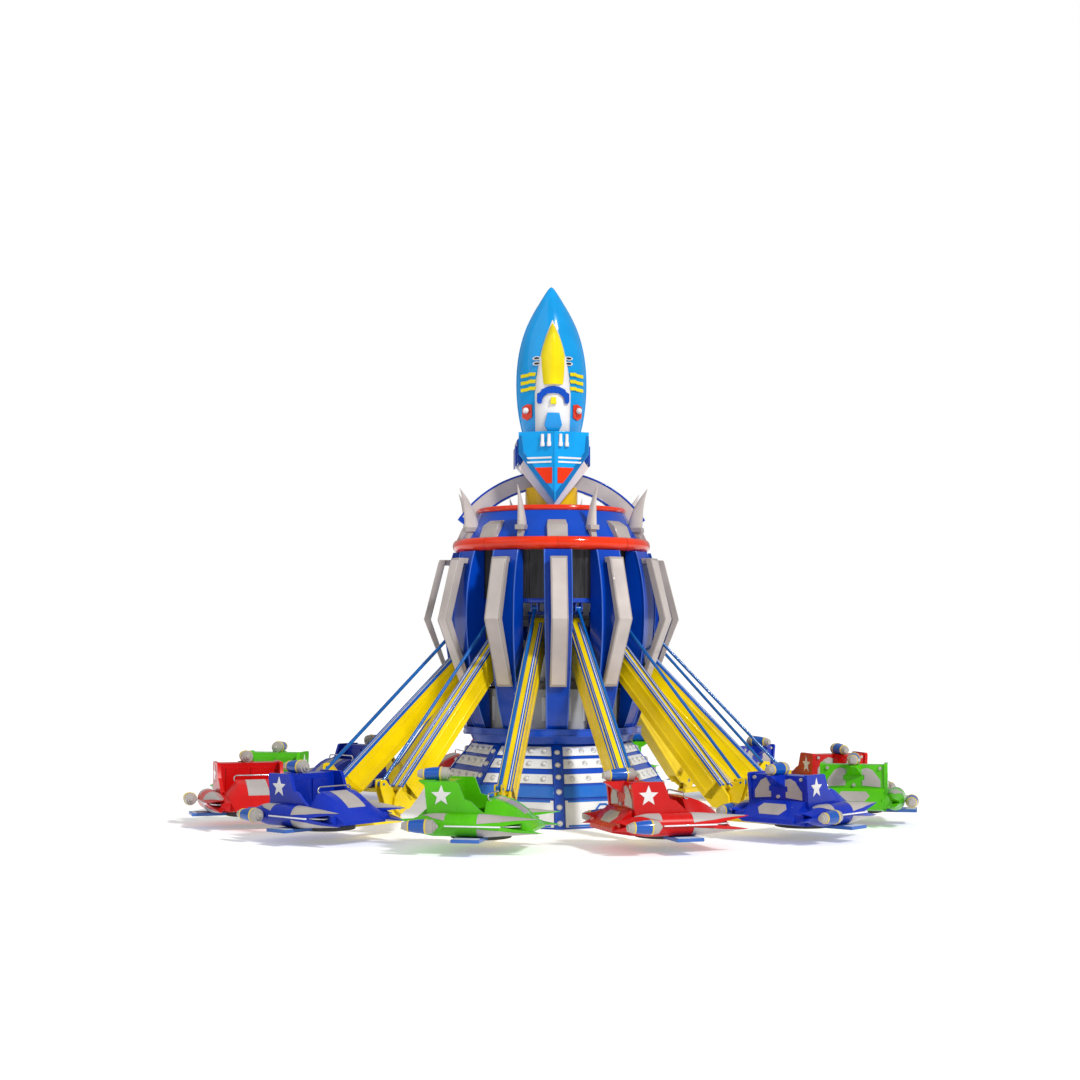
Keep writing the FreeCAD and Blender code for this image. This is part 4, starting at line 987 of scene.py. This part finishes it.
arm_end = arm_long - arm_stop
half_w = arm_wide / 2
beam_skins = [plate_y([on_arm(-arm_tail + 0.03, -arm_deep_half), on_arm(arm_end - 0.10, -arm_deep_half),
                       on_arm(arm_end, -arm_deep_half + 0.09), on_arm(arm_end, arm_deep_half - 0.05),
                       on_arm(arm_end - 0.05, arm_deep_half), on_arm(-arm_tail + 0.03, arm_deep_half),
                       on_arm(-arm_tail, arm_deep_half - 0.05), on_arm(-arm_tail, -arm_deep_half + 0.05)],
                      -half_w, half_w)]
beam_skins += [arm_bar(0.32, arm_end - 0.16, n - 0.022, n + 0.022, s * (half_w - 0.002) - 0.008,
                       s * (half_w - 0.002) + 0.008) for n in (-0.10, 0.09) for s in (-1, 1)]
yoke = [on_arm(arm_end - 0.14, -arm_deep_half + 0.002), on_arm(arm_long - 0.125, -arm_deep_half + 0.02),
        on_arm(arm_long - 0.08, -0.130), on_arm(arm_long + 0.04, -0.10), on_arm(arm_long + 0.07, 0.0),
        on_arm(arm_long + 0.05, 0.10), on_arm(arm_long - 0.05, arm_deep_half - 0.02),
        on_arm(arm_end - 0.14, arm_deep_half - 0.002)]
beam_skins += [plate_y(yoke, *sorted((s * 0.074, s * half_w))) for s in (-1, 1)]
tongue_skins = [plate_y([on_arm(arm_end - 0.02, -0.07), on_arm(arm_long, -0.07),
                         on_arm(arm_long + 0.05, -0.045), on_arm(arm_long + 0.068, 0.0),
                         on_arm(arm_long + 0.05, 0.045), on_arm(arm_long, 0.07),
                         on_arm(arm_end - 0.02, 0.07)], -0.038, 0.038)]
for pin_r, (pin_x, pin_z), pin_half in ((0.04, on_arm(0, 0), 0.134), (0.034, on_arm(arm_long, 0), 0.125)):
    pin_y = np.array([-pin_half, -pin_half + 0.005, pin_half - 0.005, pin_half])
    tongue_skins.append(pipe(np.stack([0 * pin_y + pin_x, pin_y, 0 * pin_y + pin_z], -1),
                             np.array([pin_r - 0.006, pin_r, pin_r, pin_r - 0.006]), 20))
strip_from, strip_to, top_n = 0.0, arm_end - 0.03, arm_deep_half
strip_lines = (-0.066, 0.066)
cover_skins = [arm_bar(strip_from, strip_to, top_n - 0.004, top_n + 0.010, y - 0.026, y + 0.026)
               for y in strip_lines]
cover_skins += [arm_bar(strip_from, strip_to, top_n - 0.03, top_n + 0.004, s * half_w - 0.006,
                        s * half_w + 0.004) for s in (-1, 1)]
light_skins = [arm_bar(strip_from + 0.02, strip_to - 0.02, top_n + 0.004, top_n + 0.014, y - 0.007,
                       y + 0.007) for y in strip_lines]
rod_blue = sprayed("rod_blue_gloss", (0.0, 0.11, 0.42), rough=0.2, coat=0.3, dirt=0.1)
for k, azimuth in enumerate(arm_azimuths):
    number = "%02d" % (k + 1)
    body = "arm_" + number
    piece("arm_beam_" + number, spun(beam_skins, [azimuth]), arm_yellow, body,
          bevel=0.008, replaces=["arm_" + number])
    piece("arm_tongue_" + number, spun(tongue_skins, [azimuth]), machined, body,
          bevel=0.004)
    piece("arm_covers_" + number, spun(cover_skins, [azimuth]), strip_blue, body,
          bevel=0.003)
    piece("arm_lights_" + number, spun(light_skins, [azimuth]), strip_white, body,
          bevel=0.003)
    for slot_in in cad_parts["level_rod_" + number].material_slots:
        slot_in.link = "OBJECT"
        slot_in.material = rod_blue

# ---------------------------------------------------------------------------------------------
# Planes: each is a two-seat glass-fibre tub between two floats. A float is two half shells that
# part at bow and stern like an open beak; all planes are cast from the same moulds.
plane_r = 5.0
float_v, float_r, float_z, float_half = 0.635, 0.157, 0.412, 1.02
bow_split, stern_split = 0.44, -0.84


def float_shape(u, up):
    """Parting height, crest height and half width of a float's upper (up=1) or lower (up=-1)
    half at u: the crest falls to the beak's tip as a quarter sine, the parting line opens."""
    nose = np.clip((u - bow_split) / (float_half - bow_split), 0, 1)
    tail = np.clip((stern_split - u) / (float_half + stern_split), 0, 1)
    middle = float_z + up * (0.092 * nose ** 0.9 + 0.070 * tail ** 0.7)
    taper = np.cos(np.clip((u - 0.10) / (float_half - 0.10), 0, 1) * np.pi / 2) ** 0.85
    taper *= 1 - np.clip((-0.50 - u) / (float_half - 0.50), 0, 1) ** 1.5
    crest = middle + up * np.maximum((float_r - 0.07 * nose - 0.06 * tail) * taper, 0.003)
    return middle, crest, np.maximum(float_r * taper, 0.004)


def float_half_skin(x, up, u0=-float_half + 0.01, u1=float_half - 0.01, swell=0.0, a0=0.0, a1=180.0,
                    count=44):
    """Half shell of a float: at each u a half ellipse from angle a0 to a1, closed underneath.
    a0 and a1 may grow along u to leave a pointed patch."""
    rings = []
    for i, u in enumerate(np.linspace(u0, u1, count)):
        t = i / (count - 1)
        low = a0 if np.isscalar(a0) else float(np.interp(t, *zip(*a0)))
        high = a1 if np.isscalar(a1) else float(np.interp(t, *zip(*a1)))
        middle, crest, wide = float_shape(u, up)
        a = np.radians(np.linspace(low, high, 15))
        rise = abs(crest - middle)
        px = x + (wide + swell) * np.cos(a)
        pz = middle + up * (rise + swell) * np.sin(a)
        if swell:
            inner = 0.90
            px = np.append(px, x + inner * wide * np.cos(a[::-1]))
            pz = np.append(pz, middle + up * inner * rise * np.sin(a[::-1]))
        rings.append(np.stack([px, np.full(len(px), u), pz], -1))
    return loft(rings)


# Tub: floor, side walls, hood with its sloping nose, the thick back with its two wings, and the
# stern; one colour throughout, parting lines filled and polished.
hood_rows = [(0.150, 0.47, 0.54, 0.290, 0.745), (0.20, 0.47, 0.54, 0.305, 0.754),
             (0.27, 0.47, 0.54, 0.310, 0.744), (0.40, 0.47, 0.53, 0.305, 0.700),
             (0.52, 0.465, 0.51, 0.290, 0.640), (0.63, 0.455, 0.475, 0.270, 0.565),
             (0.73, 0.44, 0.425, 0.250, 0.475), (0.80, 0.42, 0.37, 0.230, 0.400),
             (0.835, 0.40, 0.345, 0.21, 0.355)]
tub_z0 = 0.251
hood_u, hood_b, hood_zs, hood_t, hood_zt = np.array(hood_rows).T


def hood_section(u):
    """Six-sided section of the hood at u, smooth between its stations."""
    b, zs, t, zt = (float(np.interp(u, hood_u, col)) for col in (hood_b, hood_zs, hood_t, hood_zt))
    z0 = tub_z0 + 0.06 * max(0.0, (u - 0.25) / 0.585)
    return [(plane_r - b, u, z0), (plane_r + b, u, z0), (plane_r + b, u, zs),
            (plane_r + t, u, zt), (plane_r - t, u, zt), (plane_r - b, u, zs)]


wing_outline = [(-0.640, 0.50), (-0.690, 0.960), (-0.668, 0.992), (-0.235, 0.992), (-0.208, 0.970),
                (-0.125, 0.755), (-0.035, 0.728), (0.105, 0.60), (0.17, 0.56), (0.17, 0.50)]
stern_rows = [(-0.60, 0.47, 0.252, 0.612), (-0.68, 0.47, 0.256, 0.606), (-0.955, 0.45, 0.300, 0.365)]
tub_skins = [loft([hood_section(u) for u in np.linspace(0.15, 0.835, 26)]),
             block(plane_r - 0.47, plane_r + 0.47, -0.62, 0.16, tub_z0, 0.292),
             loft([[(plane_r - b, u, z0), (plane_r + b, u, z0), (plane_r + b, u, z1), (plane_r - b, u, z1)]
                   for u, b, z0, z1 in stern_rows]),
             loft([[(plane_r - 0.475, u, z), (plane_r + 0.475, u, z), (plane_r + 0.475, u2, z),
                    (plane_r - 0.475, u2, z)]
                   for u, u2, z in ((-0.625, -0.345, 0.29), (-0.655, -0.365, 0.975))])]
tub_skins += [plate_x(wing_outline, plane_r + s * 0.47, plane_r + s * 0.525) for s in (-1, 1)]
tub_skins += [plate_x([(-0.64, 0.252), (0.17, 0.252), (0.17, 0.56), (-0.64, 0.56)], plane_r + s * 0.44,
                      plane_r + s * 0.50) for s in (-1, 1)]
tub_skins += [loft([[(plane_r - w, -0.64, z0), (plane_r + w, -0.64, z0), (plane_r + w, -0.64, 0.985),
                     (plane_r - w, -0.64, 0.985)],
                    [(plane_r - 0.045, -0.90, 0.955), (plane_r + 0.045, -0.90, 0.955),
                     (plane_r + 0.045, -0.90, 0.975), (plane_r - 0.045, -0.90, 0.975)]])
              for w, z0 in ((0.13, 0.80),)]
tub_skins += [float_half_skin(plane_r + s * float_v, up) for s in (-1, 1) for up in (-1, 1)]
for s in (-1, 1):
    flare = [[(plane_r + s * 0.44, u, 0.555 * k + 0.42 * (1 - k)),
              (plane_r + s * 0.49, u, 0.52 * k + 0.42 * (1 - k)),
              (plane_r + s * 0.55, u, 0.50 * k + 0.42 * (1 - k)),
              (plane_r + s * 0.60, u, 0.50 * k + 0.42 * (1 - k)),
              (plane_r + s * 0.60, u, 0.34), (plane_r + s * 0.44, u, 0.30)]
             for u, k in ((-0.90, 0.15), (-0.72, 0.75), (-0.55, 1.0), (0.25, 1.0), (0.50, 0.7), (0.70, 0.2))]
    tub_skins.append(loft(flare if s < 0 else [ring[::-1] for ring in flare]))
tub_skins += [block(plane_r + s * 0.20 - 0.165, plane_r + s * 0.20 + 0.165, -0.362, -0.338, 0.47, 0.90)
              for s in (-1, 1)]

# Grey inlays: satin grey panels let into the gelcoat: hood stripe, rear windows, stern plate and
# the pointed patches on the floats.
hood_stripe = []
for u in np.linspace(0.24, 0.66, 16):
    zt = float(np.interp(u, hood_u, hood_zt))
    w = 0.155 + 0.03 * (u - 0.24)
    hood_stripe.append([(plane_r - w, u, zt - 0.01), (plane_r + w, u, zt - 0.01),
                        (plane_r + w, u, zt + 0.006), (plane_r - w, u, zt + 0.006)])
window = [(0.12, 0.905), (0.21, 0.930), (0.30, 0.890), (0.415, 0.735), (0.415, 0.625), (0.13, 0.650),
          (0.13, 0.735), (0.165, 0.735), (0.165, 0.815), (0.12, 0.815)]


def on_back(outline, out):
    """Plate on the leaning rear wall of the back: (v, z) outline."""
    v, z = np.array(outline).T
    u = -0.625 - 0.030 * (z - 0.29) / 0.685
    return loft([np.stack([plane_r + v, u + 0.01, z], -1), np.stack([plane_r + v, u - out, z], -1)])


knob_ring = [(0.026 * math.cos(t), 0.026 * math.sin(t))
             for t in np.linspace(0, 2 * np.pi, 14, endpoint=False)]
inlay_skins = [loft(hood_stripe), on_back(window, 0.008),
               on_back([(-v, z) for v, z in window], 0.008)]
inlay_skins += [on_back([(v0 + v, z0 + z) for v, z in knob_ring], 0.028)
                for v0, z0 in ((0.41, 0.925), (-0.41, 0.925), (0.0, 0.66))]
stern_deck = [(-0.19, -0.735), (0.19, -0.735), (0.25, -0.805), (0.17, -0.895),
              (-0.17, -0.895), (-0.25, -0.805)]
inlay_skins.append(loft([[(plane_r + v, u - lift * 0.6, np.interp(-u, [0.68, 0.955], [0.606, 0.365]) + lift)
                          for v, u in stern_deck] for lift in (-0.01, 0.006)]))
for s in (-1, 1):
    x = plane_r + s * float_v
    for up in (-1, 1):
        inlay_skins.append(float_half_skin(x, up, 0.12, 0.95, 0.004, [(0, 12), (0.4, 26), (1, 40)],
                                           [(0, 168), (0.4, 154), (1, 140)], 24))
    inlay_skins.append(float_half_skin(x, 1, -0.70, -0.34, 0.004, [(0, 84), (0.5, 40), (1, 26)],
                                       [(0, 96), (0.5, 140), (1, 154)], 14))

# Engine pods: blue drums between yellow bands, with a stepped grey cone at each end, one over
# the back on a blade and one outside each float.
def along_u(profile, x, z, u0, count=28):
    """Solid of turning about a line along the flight: (distance, radius) stations from u0."""
    a = np.linspace(0, 2 * np.pi, count, endpoint=False)
    return loft([np.stack([x + r * np.cos(a), 0 * a + u0 + d, z + r * np.sin(a)], -1) for d, r in profile])


pod_blue_line = [(0.110, 0.076), (0.22, 0.094), (0.335, 0.101)]
pod_band_lines = [[(0.088, 0.070), (0.092, 0.081), (0.108, 0.083), (0.112, 0.074)],
                  [(0.332, 0.096), (0.336, 0.106), (0.354, 0.107), (0.358, 0.098)]]
pod_grey_lines = [[(0.0, 0.030), (0.004, 0.048), (0.035, 0.054), (0.038, 0.062), (0.090, 0.073)],
                  [(0.355, 0.099), (0.42, 0.097), (0.45, 0.088), (0.452, 0.064), (0.478, 0.058),
                   (0.480, 0.034), (0.502, 0.030), (0.512, 0.018)]]
pod_places = [(plane_r, 1.060, -0.925, 1.0)]
pod_places += [(plane_r + s * (float_v + 0.264), float_z, -0.905, 1.0) for s in (-1, 1)]
pod_blue_skins, pod_band_skins, pod_grey_skins = [], [], []
for x, z, u0, size in pod_places:
    pod_blue_skins.append(along_u([(d, r * size) for d, r in pod_blue_line], x, z, u0))
    pod_band_skins += [along_u([(d, r * size) for d, r in line], x, z, u0) for line in pod_band_lines]
    pod_grey_skins += [along_u([(d, r * size) for d, r in line], x, z, u0) for line in pod_grey_lines]

# Light blades, star and grab rail: a milky light blade along each float's side and out through
# the beak, a plain white star on each wing, and a bent chrome rail on the hood.
blade_skins = []
for s in (-1, 1):
    x0, x1 = sorted((plane_r + s * (float_v + 0.150), plane_r + s * (float_v + 0.192)))
    blade_skins.append(block(x0, x1, -0.33, 0.46, float_z - 0.010, float_z + 0.010))
    x = plane_r + s * float_v
    blade_skins.append(loft([[(x - w, u, float_z - 0.009), (x + w, u, float_z - 0.009),
                              (x + w, u, float_z + 0.009), (x - w, u, float_z + 0.009)]
                             for u, w in ((0.46, 0.11), (0.60, 0.09), (0.70, 0.03))]))
star_r, star_in, star_u, star_z = 0.150, 0.064, -0.445, 0.800
star = [(star_u + (star_r if i % 2 == 0 else star_in) * math.sin(math.pi * i / 5),
         star_z + (star_r if i % 2 == 0 else star_in) * math.cos(math.pi * i / 5)) for i in range(10)]
star_skins = [plate_x(star, plane_r + s * 0.520, plane_r + s * 0.532) for s in (-1, 1)]
chrome, chrome_shader, chrome_place = new_finish("rail_chrome", metallic=1.0)
smear = noise(chrome_place, 14.0, 4.0)
feed(chrome_place, chrome_shader, "Base Color", smear.mix((0.62, 0.63, 0.65), (0.80, 0.80, 0.81)))
feed(chrome_place, chrome_shader, "Roughness", smear * 0.18 + 0.06)
rail_half, rail_top, rail_u, bend = 0.315, 0.815, 0.175, 0.045
quarter = np.linspace(0, math.pi / 2, 6)
rail_path = [(plane_r - rail_half, rail_u + 0.05, rail_top - 0.085),
             (plane_r - rail_half, rail_u + 0.012, rail_top - 0.080)]
rail_path += [(plane_r - rail_half, rail_u, rail_top - 0.07)]
rail_path += [(plane_r - rail_half + bend * (1 - math.cos(t)), rail_u,
               rail_top - bend * (1 - math.sin(t))) for t in quarter]
rail_path += [(2 * plane_r - x, u, z) for x, u, z in rail_path[::-1]]
rail_skins = [pipe(rail_path, 0.0125, 12)]

# Underneath: a round dark landing pad, the yellow levelling fork that takes the knuckle and the
# rod, and a blue step outboard with a pale non-slip tread.
pad_rubber, pad_shader, pad_place = new_finish("landing_pad_rubber")
pad_tone = noise(pad_place, 26.0, 5.0)
feed(pad_place, pad_shader, "Base Color", pad_tone.mix((0.030, 0.030, 0.032), (0.085, 0.084, 0.086)))
feed(pad_place, pad_shader, "Roughness", pad_tone * 0.25 + 0.55)
feed(pad_place, pad_shader, "Normal", pad_place.node("Bump", Strength=0.4, Distance=0.01, Height=pad_tone))
pad_skins = [column_of([(0.405, 0.181), (0.425, 0.186), (0.430, 0.196), (0.430, 0.248), (0.424, 0.2535)],
                       64, (plane_r, 0.0))]
fork_skins = [block(3.55, plane_r - 0.432, -0.09, 0.09, 0.176, 0.250)]
cheek_outline = [(3.545, 0.249), (3.79, 0.249), (3.97, 0.72), (3.97, 0.815), (3.95, 0.835), (3.855, 0.835),
                 (3.835, 0.815), (3.545, 0.475)]
fork_skins += [plate_y(cheek_outline, s * 0.0405, s * 0.0605) for s in (-1, 1)]
fork_skins += [block(3.80, plane_r - 0.50, -0.03, 0.03, 0.249, 0.262)]
step_skins = [block(plane_r + 0.441, plane_r + 0.970, -0.20, 0.20, 0.201, 0.249)]
tread_skins = [block(plane_r + 0.80, plane_r + 0.955, -0.185, 0.185, 0.247, 0.253)]
tread_skins += [block(x, x + 0.012, -0.17, 0.17, 0.251, 0.257)
                for x in np.arange(plane_r + 0.82, plane_r + 0.94, 0.035)]

# Seat: a moulded grey bench with two hollows and a low divider, screwed to the tub's floor.
seat_u = np.linspace(-0.34, 0.05, 14)
seat_v = np.linspace(-0.395, 0.395, 41)
seat_grid_v, seat_grid_u = np.meshgrid(seat_v, seat_u)
hollow = 0.045 * np.abs(np.sin(np.pi * seat_grid_v / 0.395)) ** 0.8
seat_top = 0.425 - hollow * np.sin(np.pi * np.clip((seat_grid_u + 0.36) / 0.46, 0, 1)) ** 0.6
seat_rings = [np.concatenate([np.stack([plane_r + seat_v, np.full(41, u), top], -1),
                              [(plane_r + 0.395, u, 0.293), (plane_r - 0.395, u, 0.293)]])
              for u, top in zip(seat_u, seat_top)]
seat_skins = [loft(seat_rings)]

plane_paints = {"red": sprayed("plane_red_gelcoat", (0.60, 0.0, 0.0), rough=0.28, coat=0.14, dirt=0.08),
                "blue": sprayed("plane_blue_gelcoat", (0.0, 0.025, 0.44), rough=0.28, coat=0.14, dirt=0.08),
                "green": sprayed("plane_green_gelcoat", (0.085, 0.52, 0.0), rough=0.28, coat=0.14, dirt=0.08)}
pod_blue = sprayed("pod_blue_gloss", (0.0, 0.09, 0.46), rough=0.25, coat=0.5, dirt=0.1)
pod_yellow = sprayed("pod_yellow_gloss", (0.80, 0.58, 0.06), rough=0.25, coat=0.5, dirt=0.1)
pod_grey = sprayed("pod_grey_satin", (0.42, 0.39, 0.36), rough=0.3, coat=0.4, dirt=0.15)
inlay_grey = sprayed("inlay_grey_satin", (0.44, 0.40, 0.38), rough=0.28, coat=0.4, dirt=0.15)
blade_white = sprayed("blade_white", (0.80, 0.80, 0.84), rough=0.2, coat=0.5, dirt=0.1)
seat_grey = sprayed("seat_grey_moulded", (0.20, 0.21, 0.23), rough=0.45, coat=0.1, dirt=0.3)
step_blue = sprayed("step_blue", (0.0, 0.10, 0.46), rough=0.3, dirt=0.4)
tread_pale = sprayed("step_tread", (0.50, 0.56, 0.66), rough=0.6, coat=0.0, dirt=0.5, peel=0.05)
for k, azimuth in enumerate(arm_azimuths):
    number = "%02d" % (k + 1)
    body = "gondola_" + number
    colour = ("red", "blue", "green")[k % 3]
    for name, skins, finish, slot, bevel, smooth in (
            ("tub", tub_skins, plane_paints[colour], "plane_" + colour, 0.007, 40),
            ("inlays", inlay_skins, inlay_grey, "trim_grey", 0.0, 35),
            ("pod_drums", pod_blue_skins, pod_blue, "tower_blue", 0.0, 60),
            ("pod_bands", pod_band_skins, pod_yellow, "arm_yellow", 0.0, 40),
            ("pod_cones", pod_grey_skins, pod_grey, "trim_grey", 0.0, 35),
            ("blades", blade_skins, blade_white, "lamp_lens", 0.003, 35),
            ("stars", star_skins, gloss_white, "skirt_white", 0.002, 35),
            ("grab_rail", rail_skins, chrome, "bare_steel", 0.0, 60),
            ("landing_pad", pad_skins, pad_rubber, "dark_cladding", 0.0, 35),
            ("fork", fork_skins, arm_yellow, "arm_yellow", 0.004, 35),
            ("step", step_skins, step_blue, "rod_blue", 0.006, 35),
            ("step_tread", tread_skins, tread_pale, "skirt_white", 0.0, 35),
            ("seat", seat_skins, seat_grey, "drive_grey", 0.004, 40)):
        piece("plane_%s_%s" % (name, number), spun(skins, [azimuth]), finish, body, bevel=bevel,
              smooth=smooth, replaces=["gondola_" + number] if name == "tub" else ())
